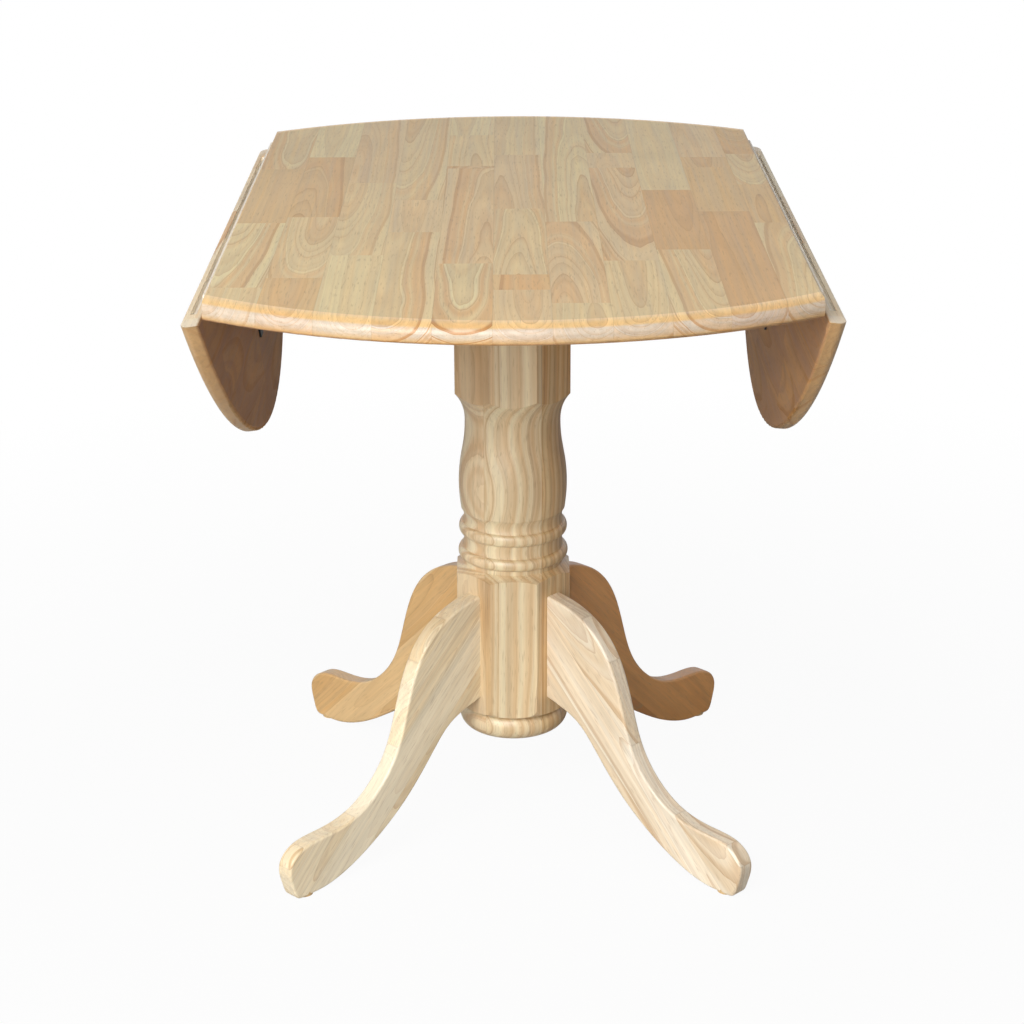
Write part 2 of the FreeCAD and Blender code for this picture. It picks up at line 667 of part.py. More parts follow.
def make_panel():
    """Build the fixed middle panel with a tongue on each seam."""
    body = new_body("top_panel")
    disc = new_sketch(body, "XZ_Plane")
    rim_outline(disc, UNDERSIDE, "Sizes.total_height")
    revolve(disc)
    cut = new_sketch(body, "XY_Plane", lift="Sizes.total_height")
    half = "(Sizes.panel_width / 2)"
    for side in ("-1", "1"):
        rectangle(cut, f"{side} * {half}", f"{side} * Sizes.top_diameter",
                  "-Sizes.top_diameter", "Sizes.top_diameter")
    pocket(cut, "Sizes.top_thickness")
    for side in ("-1", "1"):
        ease_seam(body, f"{side} * {half}", side, "Sizes.total_height", "1")
        ease_seam(body, f"{side} * {half}", side, UNDERSIDE, "-1")
    middle = f"({UNDERSIDE} + Sizes.top_thickness / 2)"
    reach = f"({half} + Sizes.tongue_reach)"
    tongue = new_sketch(body, "XZ_Plane")
    rectangle(tongue, f"-{reach}", reach, f"{middle} - Sizes.tongue_thickness / 2",
              f"{middle} + Sizes.tongue_thickness / 2")
    pad(tongue, f"2 * {TONGUE_HALF}", midplane=True)
    holes = new_sketch(body, "XY_Plane", lift=UNDERSIDE)
    circles(holes, SCREW_HOLE, panel_screw_places())
    pocket(holes, "Sizes.wood_screw_length", backwards=True)
    sockets = new_sketch(body, "XY_Plane", lift=UNDERSIDE)
    circles(sockets, "Sizes.insert_radius + Sizes.screw_fit", plate_bolt_places())
    pocket(sockets, "Sizes.insert_length + Sizes.screw_end_play", backwards=True)


# Leaves and their hardware are modelled flat, outwards from the hinge pin, then turned to hang
SIDE_TURNS = {"left": ("-1", "180"), "right": ("1", "0")}


def side_frame(side):
    """Place a frame on the hinge pin of one side, with X pointing outwards."""
    sign, turn = SIDE_TURNS[side]
    return f"placement(vector({sign} * {HINGE_OUT}; 0; {HINGE_HEIGHT}); rotationz({turn}))"


def leaf_frame(side):
    """Turn the side's frame down with its leaf."""
    return f"{side_frame(side)} * placement(vector(0; 0; 0); rotationy(Sizes.{side}_hang))"


def make_leaf(side):
    """Build one leaf with the groove that takes the panel's tongue."""
    body = new_body(f"{side}_leaf", leaf_frame(side))
    top = f"({PIN_DROP} + Sizes.top_thickness)"
    edge = "(Sizes.leaf_gap / 2)"
    disc = new_sketch(body, "XZ_Plane", across=f"-{HINGE_OUT}")
    rim_outline(disc, PIN_DROP, top)
    revolve(disc)
    cut = new_sketch(body, "XY_Plane", lift=top)
    rectangle(cut, "-2 * Sizes.top_diameter", edge, "-Sizes.top_diameter", "Sizes.top_diameter")
    pocket(cut, "Sizes.top_thickness")
    ease_seam(body, edge, "-1", top, "1")
    ease_seam(body, edge, "-1", PIN_DROP, "-1")
    middle = f"({PIN_DROP} + Sizes.top_thickness / 2)"
    half = "(Sizes.tongue_thickness / 2 + Sizes.groove_side_play)"
    depth = "(Sizes.tongue_reach + Sizes.groove_depth_play)"
    groove = new_sketch(body, "XZ_Plane")
    rectangle(groove, "0", f"{edge} + {depth}", f"{middle} - {half}", f"{middle} + {half}")
    pocket(groove, f"2 * ({TONGUE_HALF} + Sizes.groove_end_play)", midplane=True)
    holes = new_sketch(body, "XY_Plane", lift=PIN_DROP)
    places = [(out, along) for along, out in hinge_screw_places()]
    circles(holes, SCREW_HOLE, places + stay_leaf_screw_places())
    pocket(holes, "Sizes.wood_screw_length", backwards=True)


# Hinges: two plates with interleaved knuckles on one pin, at the front and the rear of each leaf
KNUCKLE_LENGTH = "(Sizes.hinge_length / 5)"
HINGE_ENDS = {"front": -1, "rear": 1}
HINGE_SCREW_SHARES = [(-0.36, 0.42), (0.0, 0.72), (0.36, 0.42)]


def hinge_screw_places():
    """Give a leaf's hinge screws as places along the pin and distances out from it."""
    places = []
    for end in HINGE_ENDS.values():
        for along_share, out_share in HINGE_SCREW_SHARES:
            along = f"({end} * Sizes.hinge_offset + Sizes.hinge_length * {along_share})"
            places.append((along, f"(Sizes.hinge_plate_width * {out_share})"))
    return places


def make_hinge_plate(side, end, carrier):
    """Build one hinge plate, of the panel or of the leaf, with its own knuckles."""
    on_leaf = carrier == "leaf"
    frame = leaf_frame(side) if on_leaf else side_frame(side)
    body = new_body(f"{side}_{end}_{carrier}_hinge_plate", frame)
    sign = 1 if on_leaf else -1
    turned = -1 if side == "left" else 1
    centre = f"({turned * HINGE_ENDS[end]} * Sizes.hinge_offset)"
    edge = f"{sign} * Sizes.leaf_gap / 2"
    flat = new_sketch(body, "XY_Plane", lift=PIN_DROP)
    rectangle(flat, edge, f"{sign} * Sizes.hinge_plate_width",
              f"{centre} - Sizes.hinge_length / 2", f"{centre} + Sizes.hinge_length / 2")
    pad(flat, "Sizes.hinge_plate_thickness", backwards=True)
    far = value(f"{sign} * Sizes.hinge_plate_width")

    def is_outer_corner(edge):
        return is_upright(edge) and abs(edge.Vertexes[0].X - far) < PICK_LIMIT

    round_edges(body, "Sizes.hinge_plate_round", is_outer_corner)
    barrel = new_sketch(body, "XZ_Plane", lift=f"-({centre}) - Sizes.hinge_length / 2")
    circles(barrel, "Sizes.knuckle_radius", [("0", "0")])
    pad(barrel, "Sizes.hinge_length")
    gaps = new_sketch(body, "XY_Plane", lift=PIN_DROP)
    clear = f"({PIN_DROP} + Sizes.knuckle_clearance)"
    others = (-2, 0, 2) if on_leaf else (-1, 1)
    for step in others:
        place = f"({centre} + {step} * {KNUCKLE_LENGTH})"
        reach = f"({KNUCKLE_LENGTH} / 2 + Sizes.knuckle_play)"
        rectangle(gaps, f"-{clear}", clear, f"{place} - {reach}", f"{place} + {reach}")
    pocket(gaps, f"2 * {PIN_DROP}")
    hole = new_sketch(body, "XZ_Plane", lift=f"-({centre})")
    circles(hole, "Sizes.pin_radius + Sizes.pin_fit", [("0", "0")])
    pocket(hole, "2 * Sizes.hinge_length", midplane=True)
    screws = [(f"{sign} * {out}", along) for along, out in hinge_screw_places()
              if value(along) * value(centre) > 0]
    drill = new_sketch(body, "XY_Plane", lift=HINGE_FACE)
    circles(drill, SCREW_HOLE, screws)
    pocket(drill, "Sizes.hinge_plate_thickness", backwards=True)
    sink = new_sketch(body, "XY_Plane", lift=HINGE_FACE)
    circles(sink, "Sizes.wood_screw_head_radius + Sizes.screw_fit", screws)
    pocket(sink, COUNTERSINK, backwards=True, taper=-45)


def make_hinge_pins():
    """Build the four hinge pins, one for each pair of plates."""
    body = new_body("hinge_pins")
    for end in HINGE_ENDS.values():
        round_bar = new_sketch(body, "XZ_Plane", lift=f"-({end} * Sizes.hinge_offset)")
        circles(round_bar, "Sizes.pin_radius", [(f"-{HINGE_OUT}", HINGE_HEIGHT), (HINGE_OUT, HINGE_HEIGHT)])
        pad(round_bar, "Sizes.hinge_length", midplane=True)


def make_wood_screws(name, frame, face, places):
    """Build a group of countersunk screws driven upwards with their heads flush in a face."""
    body = new_body(name, frame)
    shank = new_sketch(body, "XY_Plane", lift=face)
    circles(shank, "Sizes.wood_screw_radius", places)
    pad(shank, "Sizes.wood_screw_length")
    head = new_sketch(body, "XY_Plane", lift=face)
    circles(head, "Sizes.wood_screw_head_radius", places)
    pad(head, COUNTERSINK, taper=-45)


def make_hinge_screws():
    """Build the hinge screws of the panel and of each leaf."""
    panel_places = []
    for side in (-1, 1):
        for along, out in hinge_screw_places():
            panel_places.append((f"{side} * ({HINGE_OUT} - {out})", along))
    make_wood_screws("panel_hinge_screws", None, f"{HINGE_HEIGHT} + {HINGE_FACE}", panel_places)
    for side in SIDE_TURNS:
        places = [(out, along) for along, out in hinge_screw_places()]
        make_wood_screws(f"{side}_leaf_hinge_screws", leaf_frame(side), HINGE_FACE, places)


# Folding stays: on each side two riveted strips between a bracket on the panel and one on the leaf.
# The four pivots make a parallelogram, so the strips keep in step with the leaf all the way.
STRIP_HALF = "(Sizes.stay_strip_width / 2)"
DROP = "Sizes.stay_pivot_drop"
PANEL_PIVOT = ("-Sizes.stay_panel_reach", f"-{DROP}")
LEAF_PIVOT = ("Sizes.stay_leaf_reach", f"-{DROP}")


def stay_panel_screw_places():
    """Give the screws of the panel's stay bracket in the side's frame."""
    step = "(Sizes.stay_flange_length / 2 - Sizes.stay_screw_inset)"
    across = f"-({LAYER_INNER} + Sizes.stay_flange_width / 2)"
    return [(f"(-Sizes.stay_panel_reach - {step})", across), (f"(-Sizes.stay_panel_reach + {step})", across)]


def stay_leaf_screw_places():
    """Give the screws of the leaf's stay bracket in the side's frame."""
    step = "(Sizes.stay_flange_length / 2 - Sizes.stay_screw_inset)"
    across = f"({LAYER_INNER} + Sizes.stay_flange_width / 2)"
    return [(f"(Sizes.stay_leaf_reach - {step})", across), (f"(Sizes.stay_leaf_reach + {step})", across)]


def make_bracket(name, frame, layer, pivot, back, tail, screws):
    """Build one angle bracket: a flange under the wood and a web that carries the pivot."""
    body = new_body(name, frame)
    out, down = pivot
    low = f"({down} - {STRIP_HALF})"
    web = new_sketch(body, "XZ_Plane", lift=f"-({layer} * {LAYER_INNER})")
    outline(web,
            [(f"({out} + {tail})", PIN_DROP), (f"({out} - {back})", PIN_DROP)],
            [(f"({out} - {back})", PIN_DROP), (f"({out} - {STRIP_HALF})", down)],
            [(f"({out} - {STRIP_HALF})", down), (out, low), (f"({out} + {STRIP_HALF})", down)],
            [(f"({out} + {STRIP_HALF})", down), (f"({out} + {STRIP_HALF})", f"({down} / 2)"),
             (f"({out} + ({STRIP_HALF} + {tail}) / 2)", "0"), (f"({out} + {tail})", PIN_DROP)])
    pad(web, "Sizes.stay_strip_thickness", backwards=layer > 0)
    flange = new_sketch(body, "XY_Plane", lift=PIN_DROP)
    rectangle(flange, f"({out} - {back})", f"({out} + {tail})",
              f"{layer} * {LAYER_INNER}", f"{layer} * ({LAYER_INNER} + Sizes.stay_flange_width)")
    pad(flange, "Sizes.stay_strip_thickness", backwards=True)
    eye = new_sketch(body, "XZ_Plane")
    circles(eye, "Sizes.rivet_radius + Sizes.rivet_fit", [pivot])
    pocket(eye, f"2 * {LAYER_OUTER}", midplane=True)
    drill = new_sketch(body, "XY_Plane", lift=STAY_FACE)
    circles(drill, SCREW_HOLE, screws)
    pocket(drill, "Sizes.stay_strip_thickness", backwards=True)
    sink = new_sketch(body, "XY_Plane", lift=STAY_FACE)
    circles(sink, "Sizes.wood_screw_head_radius + Sizes.screw_fit", screws)
    pocket(sink, COUNTERSINK, backwards=True, taper=-45)


def make_strip(name, frame, layer, end):
    """Build one flat strip with round ends, from its own pivot at the frame's origin."""
    body = new_body(name, frame)
    across, up = end
    length = f"sqrt(({across}) ^ 2 + ({up}) ^ 2)"
    side_x = f"({STRIP_HALF} * ({up}) / {length})"
    side_z = f"({STRIP_HALF} * ({across}) / {length})"
    ahead_x = f"({STRIP_HALF} * ({across}) / {length})"
    ahead_z = f"({STRIP_HALF} * ({up}) / {length})"
    strip = new_sketch(body, "XZ_Plane", lift=f"-({layer} * {LAYER_INNER})")
    outline(strip,
            [(side_x, f"-{side_z}"), (f"({across} + {side_x})", f"({up} - {side_z})")],
            [(f"({across} + {side_x})", f"({up} - {side_z})"),
             (f"({across} + {ahead_x})", f"({up} + {ahead_z})"),
             (f"({across} - {side_x})", f"({up} + {side_z})")],
            [(f"({across} - {side_x})", f"({up} + {side_z})"), (f"-{side_x}", side_z)],
            [(f"-{side_x}", side_z), (f"-{ahead_x}", f"-{ahead_z}"), (side_x, f"-{side_z}")])
    pad(strip, "Sizes.stay_strip_thickness", backwards=layer > 0)
    eyes = new_sketch(body, "XZ_Plane")
    circles(eyes, "Sizes.rivet_radius + Sizes.rivet_fit", [("0", "0"), end])
    pocket(eyes, f"2 * {LAYER_OUTER}", midplane=True)


def make_rivet(name, frame, place):
    """Build one rivet through both layers, headed on either side."""
    body = new_body(name, frame)
    shank = new_sketch(body, "XZ_Plane")
    circles(shank, "Sizes.rivet_radius", [place])
    pad(shank, f"2 * {LAYER_OUTER}", midplane=True)
    for layer in (-1, 1):
        head = new_sketch(body, "XZ_Plane", lift=f"{layer} * {LAYER_OUTER}")
        circles(head, "Sizes.rivet_head_radius", [place])
        pad(head, "Sizes.rivet_head_thickness", backwards=layer < 0)


def make_stay(side):
    """Build one folding stay, its brackets, strips and rivets."""
    hang = f"rotationy(Sizes.{side}_hang)"
    frame = side_frame(side)
    panel_arm_frame = f"{frame} * placement(vector({PANEL_PIVOT[0]}; 0; {PANEL_PIVOT[1]}); {hang})"
    turned_out = f"(Sizes.stay_leaf_reach * cos(Sizes.{side}_hang) - {DROP} * sin(Sizes.{side}_hang))"
    turned_up = f"(-Sizes.stay_leaf_reach * sin(Sizes.{side}_hang) - {DROP} * cos(Sizes.{side}_hang))"
    leaf_arm_frame = f"{frame} * placement(vector({turned_out}; 0; {turned_up}); rotationy(0))"
    half_flange = "(Sizes.stay_flange_length / 2)"
    make_bracket(f"{side}_stay_panel_bracket", frame, -1, PANEL_PIVOT, half_flange, half_flange,
                 stay_panel_screw_places())
    make_rivet(f"{side}_stay_panel_rivet", frame, PANEL_PIVOT)
    make_strip(f"{side}_stay_panel_arm", panel_arm_frame, 1, LEAF_PIVOT)
    make_rivet(f"{side}_stay_elbow_rivet", panel_arm_frame, LEAF_PIVOT)
    make_strip(f"{side}_stay_leaf_arm", leaf_arm_frame, -1, PANEL_PIVOT)
    make_bracket(f"{side}_stay_leaf_bracket", leaf_frame(side), 1, LEAF_PIVOT, half_flange,
                 "Sizes.stay_tail_reach", stay_leaf_screw_places())
    make_rivet(f"{side}_stay_leaf_rivet", leaf_frame(side), LEAF_PIVOT)
    make_wood_screws(f"{side}_leaf_stay_screws", leaf_frame(side), STAY_FACE, stay_leaf_screw_places())
    make_wood_screws(f"{side}_panel_stay_screws", frame, STAY_FACE, stay_panel_screw_places())


def check_and_export():
    """Stop on any failed object, then write each piece to its own file."""
    document.recompute()
    for item in document.Objects:
        if "Invalid" in item.State or "Error" in item.State:
            raise RuntimeError(f"{item.Label} failed: {item.State}")
    os.makedirs("parts", exist_ok=True)
    for body in parts:
        if body.Shape.isNull() or not body.Shape.isValid() or not body.Shape.Solids:
            raise RuntimeError(f"{body.Label} has no valid shape")
    for body in parts:
        body.Shape.exportStep(os.path.join("parts", f"{body.Label}.step"))
        print(body.Label, len(body.Shape.Solids), round(body.Shape.Volume))


make_column()
for leg_name, leg_turn in LEG_TURNS.items():
    make_leg(leg_name, leg_turn)
make_leg_bolts()
make_leg_washers()
make_leg_nuts()
make_glides()
make_plate()
make_column_screws()
make_plate_bolts()
make_inserts()
make_panel()
make_hinge_pins()
make_hinge_screws()
for table_side in SIDE_TURNS:
    make_leaf(table_side)
    for hinge_end in HINGE_ENDS:
        make_hinge_plate(table_side, hinge_end, "panel")
        make_hinge_plate(table_side, hinge_end, "leaf")
    make_stay(table_side)
check_and_export()
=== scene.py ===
import json
import math
import bmesh
import bpy
from mathutils import Matrix, Vector


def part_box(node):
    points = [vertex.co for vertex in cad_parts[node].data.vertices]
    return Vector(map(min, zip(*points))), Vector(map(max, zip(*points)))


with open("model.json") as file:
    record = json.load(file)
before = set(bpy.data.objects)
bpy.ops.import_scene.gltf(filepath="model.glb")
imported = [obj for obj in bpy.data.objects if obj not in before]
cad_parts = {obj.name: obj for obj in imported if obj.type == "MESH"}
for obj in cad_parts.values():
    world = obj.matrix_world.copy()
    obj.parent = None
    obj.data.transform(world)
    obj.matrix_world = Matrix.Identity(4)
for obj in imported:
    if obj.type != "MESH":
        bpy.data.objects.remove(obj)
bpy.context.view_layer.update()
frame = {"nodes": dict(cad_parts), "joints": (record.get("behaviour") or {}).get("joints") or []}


# Camera
# It stands in front of the table, a little above it, where the photograph was taken from,
# and looks down at it with a long lens.
EYE = Vector((-0.00917, -2.75407, 1.38281))
EYE_DOWN = math.radians(20.12)
EYE_LEFT = -0.0029
EYE_ROLL = -0.0044067
PHOTO_PIXELS = 1024
FOCAL_PIXELS = 2428.5
SHIFT_PIXELS = 5.47
SENSOR_MM = 36
SIGHT_REACH = 30

eye = bpy.data.cameras.new("photo_camera")
eye.sensor_width = SENSOR_MM
eye.lens = FOCAL_PIXELS / PHOTO_PIXELS * SENSOR_MM
eye.shift_y = SHIFT_PIXELS / PHOTO_PIXELS
eye.clip_end = SIGHT_REACH
camera = bpy.data.objects.new("photo_camera", eye)
camera.matrix_world = (
    Matrix.Translation(EYE)
    @ Matrix.Rotation(EYE_LEFT, 4, "Z")
    @ Matrix.Rotation(math.pi / 2 - EYE_DOWN, 4, "X")
    @ Matrix.Rotation(EYE_ROLL, 4, "Z")
)
bpy.context.scene.collection.objects.link(camera)
bpy.context.scene.camera = camera


# Column
# Rubberwood, glued up from upright laminations, cut to eight sides and turned between its blocks.
# The grain runs upright. Sanding and clear lacquer warm the pale wood, show its dark pores and
# leave a satin shine.
def to_linear(code):
    """Turn an sRGB hex colour into linear light."""
    shares = [int(code[at:at + 2], 16) / 255 for at in (1, 3, 5)]
    linear = [share / 12.92 if share <= 0.04045 else ((share + 0.055) / 1.055) ** 2.4 for share in shares]
    return (*linear, 1.0)


def add_node(owner, kind, sockets=None, **settings):
    """Add a node to a material or world, set it up, and feed its sockets with values or outputs."""
    node = owner.node_tree.nodes.new(kind)
    for name, setting in settings.items():
        setattr(node, name, setting)
    for name, source in (sockets or {}).items():
        if isinstance(source, bpy.types.NodeSocket):
            owner.node_tree.links.new(source, node.inputs[name])
        else:
            node.inputs[name].default_value = source
    return node


def new_material(name):
    """Start a material with only its output, and return it with its Principled shader."""
    material = bpy.data.materials.new(name)
    material.use_nodes = True
    material.node_tree.nodes.clear()
    shader = add_node(material, "ShaderNodeBsdfPrincipled")
    add_node(material, "ShaderNodeOutputMaterial", {"Surface": shader.outputs["BSDF"]})
    return material, shader


def feed_shader(material, shader, **sources):
    """Link outputs to a shader's sockets, which are named with underscores for spaces."""
    for name, source in sources.items():
        material.node_tree.links.new(source, shader.inputs[name.replace("_", " ")])


def dress(material, *names):
    """Give a material to CAD nodes."""
    for name in names:
        for slot in frame["nodes"][name].material_slots:
            slot.material = material


def set_stops(ramp, stops, interpolation="LINEAR"):
    """Set a colour ramp's stops from (place, colour) pairs in rising order."""
    ramp.color_ramp.interpolation = interpolation
    elements = ramp.color_ramp.elements
    while len(elements) > 1:
        elements.remove(elements[-1])
    elements[0].position, elements[0].color = stops[0]
    for place, colour in stops[1:]:
        elements.new(place).color = colour


def pick_tone(material, share, tones):
    """Pick a tone by a share, from (share, hex colour) pairs in rising order."""
    ramp = add_node(material, "ShaderNodeValToRGB", {0: share})
    set_stops(ramp, [(place, to_linear(code)) for place, code in tones])
    return ramp.outputs["Color"]


MM_IN_METRE = 1000


def draw_noise(material, place, span, detail, roughness):
    """Draw noise. span is its cells' size in millimetres across, along and through a board."""
    cells = tuple(MM_IN_METRE / length for length in span)
    drawn = add_node(material, "ShaderNodeVectorMath", {0: place, 1: cells}, operation="MULTIPLY")
    noise = add_node(material, "ShaderNodeTexNoise",
                     {"Vector": drawn.outputs[0], "Scale": 1.0, "Detail": detail, "Roughness": roughness})
    return noise.outputs[0]


# The pith of each board: its least and most place across and under the board, and how far it leans
PITH_ACROSS = (-0.025, 0.025)
PITH_DEPTH = (0.002, 0.036)
PITH_LEAN_SHARES = (-0.13, 0.13)
# How far apart in one large pattern the boards are taken, so that no two look alike
BOARD_SHIFT = (7.3, 3.1, 5.7)
# The rings wander by these swings, over cells of these spans, with this detail and roughness
WOBBLE = 0.011
WOBBLE_NOISE = ((52.63, 200.0, 52.63), 1.0, 0.4)
RIPPLE = 0.0014
RIPPLE_NOISE = ((9.091, 83.33, 9.091), 1.0, 0.5)
# The gap between rings, by how many of them they drift, and how narrow the late wood is
RING_GAP = 0.0046
RING_DRIFT = 4.0
LATE_SHARPNESS = 4.0
# The broad bands of warm wood: their gap, their noise, and where on it they start and are full
BAND_GAP = 0.011
BAND_DETAIL = 2.0
BAND_ROUGHNESS = 0.55
WARM_START_SHARE, WARM_END_SHARE = 0.36, 0.62


def find_heart(material, chance):
    """Place a board's pith by chance: how far aside it lies, how deep, and how it leans."""
    heart = []
    for share, (least, most) in zip(chance, (PITH_ACROSS, PITH_DEPTH, PITH_LEAN_SHARES)):
        spot = add_node(material, "ShaderNodeMapRange", {"Value": share, "To Min": least, "To Max": most})
        heart.append(spot.outputs[0])
    return heart


def measure_radius(material, board, chance, heart):
    """Measure the distance from the pith, bent by slow wobbles and quick ripples."""
    across, along, depth = board
    pith, below, lean = heart
    aside = add_node(material, "ShaderNodeMath", {0: across, 1: pith}, operation="SUBTRACT")
    climb = add_node(material, "ShaderNodeMath", {0: along, 1: lean, 2: below}, operation="MULTIPLY_ADD")
    down = add_node(material, "ShaderNodeMath", {0: climb.outputs[0], 1: depth}, operation="SUBTRACT")
    arm = add_node(material, "ShaderNodeCombineXYZ", {0: aside.outputs[0], 1: down.outputs[0]})
    radius = add_node(material, "ShaderNodeVectorMath", {0: arm.outputs[0]}, operation="LENGTH")
    lots = add_node(material, "ShaderNodeCombineXYZ", dict(enumerate(chance)))
    shift = add_node(material, "ShaderNodeVectorMath", {0: lots.outputs[0], 1: BOARD_SHIFT},
                     operation="MULTIPLY")
    place = add_node(material, "ShaderNodeCombineXYZ", dict(enumerate(board)))
    moved = add_node(material, "ShaderNodeVectorMath", {0: place.outputs[0], 1: shift.outputs[0]},
                     operation="ADD")
    wobbles = draw_noise(material, moved.outputs[0], *WOBBLE_NOISE)
    ripples = draw_noise(material, moved.outputs[0], *RIPPLE_NOISE)
    bent = add_node(material, "ShaderNodeMath", {0: wobbles, 1: WOBBLE, 2: radius.outputs["Value"]},
                    operation="MULTIPLY_ADD")
    rippled = add_node(material, "ShaderNodeMath", {0: ripples, 1: RIPPLE, 2: bent.outputs[0]},
                       operation="MULTIPLY_ADD")
    return rippled.outputs[0]


def grow_rings(material, board, chance, heart):
    """Draw growth rings: cylinders round a pith that leans in the board, so they surface as arches.

    board holds places across, along and through the board, in metres. chance gives three random
    shares. heart is the pith's place across, its depth and its lean.
    Returns how warm the wood is and how much of it is dark late wood, both as shares.
    """
    radius = measure_radius(material, board, chance, heart)
    banded = add_node(material, "ShaderNodeMath", {0: radius, 1: BAND_GAP}, operation="DIVIDE")
    bands = add_node(material, "ShaderNodeTexNoise",
                     {"W": banded.outputs[0], "Scale": 1.0, "Detail": BAND_DETAIL,
                      "Roughness": BAND_ROUGHNESS}, noise_dimensions="1D")
    warm = add_node(material, "ShaderNodeMapRange",
                    {"Value": bands.outputs[0], "From Min": WARM_START_SHARE, "From Max": WARM_END_SHARE},
                    interpolation_type="SMOOTHSTEP")
    even = add_node(material, "ShaderNodeMath", {0: radius, 1: RING_GAP}, operation="DIVIDE")
    age = add_node(material, "ShaderNodeMath", {0: bands.outputs[0], 1: RING_DRIFT, 2: even.outputs[0]},
                   operation="MULTIPLY_ADD")
    season = add_node(material, "ShaderNodeMath", {0: age.outputs[0]}, operation="FRACT")
    late = add_node(material, "ShaderNodeMath", {0: season.outputs[0], 1: LATE_SHARPNESS}, operation="POWER")
    year = add_node(material, "ShaderNodeMath", {0: age.outputs[0]}, operation="FLOOR")
    growth = add_node(material, "ShaderNodeTexWhiteNoise", {"W": year.outputs[0]}, noise_dimensions="1D")
    dark = add_node(material, "ShaderNodeMath", {0: late.outputs[0], 1: growth.outputs["Value"]},
                    operation="MULTIPLY")
    return warm.outputs[0], dark.outputs[0]


# Pores are open vessels, 0.2 mm wide and 2 to 4 mm long; they are drawn coarser, so that they show
PORE_NOISE = ((1.613, 19.23, 1.613), 1.0, 0.5)
PORE_START_SHARE, PORE_END_SHARE = 0.59, 0.76
PORE_SHARE = 0.34
GLUE_SHARE = 0.22
STREAK_NOISE = ((5.882, 333.3, 5.882), 3.0, 0.6)
STREAK_TONE_SHARES = (0.9, 1.09)
CLOUD_NOISE = ((45.45, 111.1, 45.45), 2.0, 0.5)
CLOUD_TONE_SHARES = (0.94, 1.06)
FIGURE_SHARES = (0.25, 1.15)
# Most of a noise's values lie between these two
NOISE_LOW_SHARE, NOISE_HIGH_SHARE = 0.3, 0.7
SHEEN_LOW_SHARE, SHEEN_HIGH_SHARE = 0.25, 0.75
LACQUER_ROUGHNESS = (0.36, 0.5)
LACQUER_IOR = 1.5
LACQUER_COAT_SHARE = 0.5
LACQUER_COAT_ROUGHNESS = 0.3
GRAIN_DEPTH = 0.0002
GRAIN_SHARE = 0.25


def draw_grain(material, board, chance):
    """Draw a board's open pores, streaks and clouds, as shares."""
    place = add_node(material, "ShaderNodeCombineXYZ", dict(enumerate(board)))
    shift = add_node(material, "ShaderNodeCombineXYZ", {0: chance[2], 1: chance[0], 2: chance[1]})
    moved = add_node(material, "ShaderNodeVectorMath", {0: place.outputs[0], 1: shift.outputs[0]},
                     operation="ADD")
    pores, streaks, clouds = [
        draw_noise(material, moved.outputs[0], *noise) for noise in (PORE_NOISE, STREAK_NOISE, CLOUD_NOISE)
    ]
    open_pores = add_node(material, "ShaderNodeMapRange",
                          {"Value": pores, "From Min": PORE_START_SHARE, "From Max": PORE_END_SHARE})
    return open_pores.outputs[0], streaks, clouds


def stain_wood(material, tone, figure, chance, colours, strengths):
    """Tint a board's tone with its warm and its late wood, more on one board than on another."""
    least, most = FIGURE_SHARES
    lively = add_node(material, "ShaderNodeMapRange", {"Value": chance[1], "To Min": least, "To Max": most})
    for share, colour, strength in zip(figure, colours, strengths):
        force = add_node(material, "ShaderNodeMath", {0: lively.outputs[0], 1: strength},
                         operation="MULTIPLY")
        factor = add_node(material, "ShaderNodeMath", {0: share, 1: force.outputs[0]}, operation="MULTIPLY")
        tinted = add_node(material, "ShaderNodeMix",
                          {"Factor": factor.outputs[0], "A": tone, "B": to_linear(colour)},
                          data_type="RGBA")
        tone = tinted.outputs["Result"]
    return tone


def vary_wood(material, tone, streaks, clouds):
    """Lighten and darken a tone along streaks and in clouds."""
    levels = []
    for noise, (least, most) in ((streaks, STREAK_TONE_SHARES), (clouds, CLOUD_TONE_SHARES)):
        level = add_node(material, "ShaderNodeMapRange",
                         {"Value": noise, "From Min": NOISE_LOW_SHARE, "From Max": NOISE_HIGH_SHARE,
                          "To Min": least, "To Max": most})
        levels.append(level.outputs[0])
    both = add_node(material, "ShaderNodeMath", dict(enumerate(levels)), operation="MULTIPLY")
    varied = add_node(material, "ShaderNodeVectorMath", {0: tone, "Scale": both.outputs[0]},
                      operation="SCALE")
    return varied.outputs[0]


def lacquer_wood(material, shader, tone, open_pores, streaks):
    """Give wood a satin lacquer that dips into its pores and shines unevenly along its streaks."""
    least, most = LACQUER_ROUGHNESS
    sheen = add_node(material, "ShaderNodeMapRange",
                     {"Value": streaks, "From Min": SHEEN_LOW_SHARE, "From Max": SHEEN_HIGH_SHARE,
                      "To Min": least, "To Max": most})
    dips = add_node(material, "ShaderNodeMath", {0: streaks, 1: open_pores}, operation="SUBTRACT")
    bump = add_node(material, "ShaderNodeBump",
                    {"Strength": GRAIN_SHARE, "Distance": GRAIN_DEPTH, "Height": dips.outputs[0]})
    feed_shader(material, shader, Base_Color=tone, Roughness=sheen.outputs[0], Normal=bump.outputs[0])
    shader.inputs["IOR"].default_value = LACQUER_IOR
    shader.inputs["Coat Weight"].default_value = LACQUER_COAT_SHARE
    shader.inputs["Coat Roughness"].default_value = LACQUER_COAT_ROUGHNESS


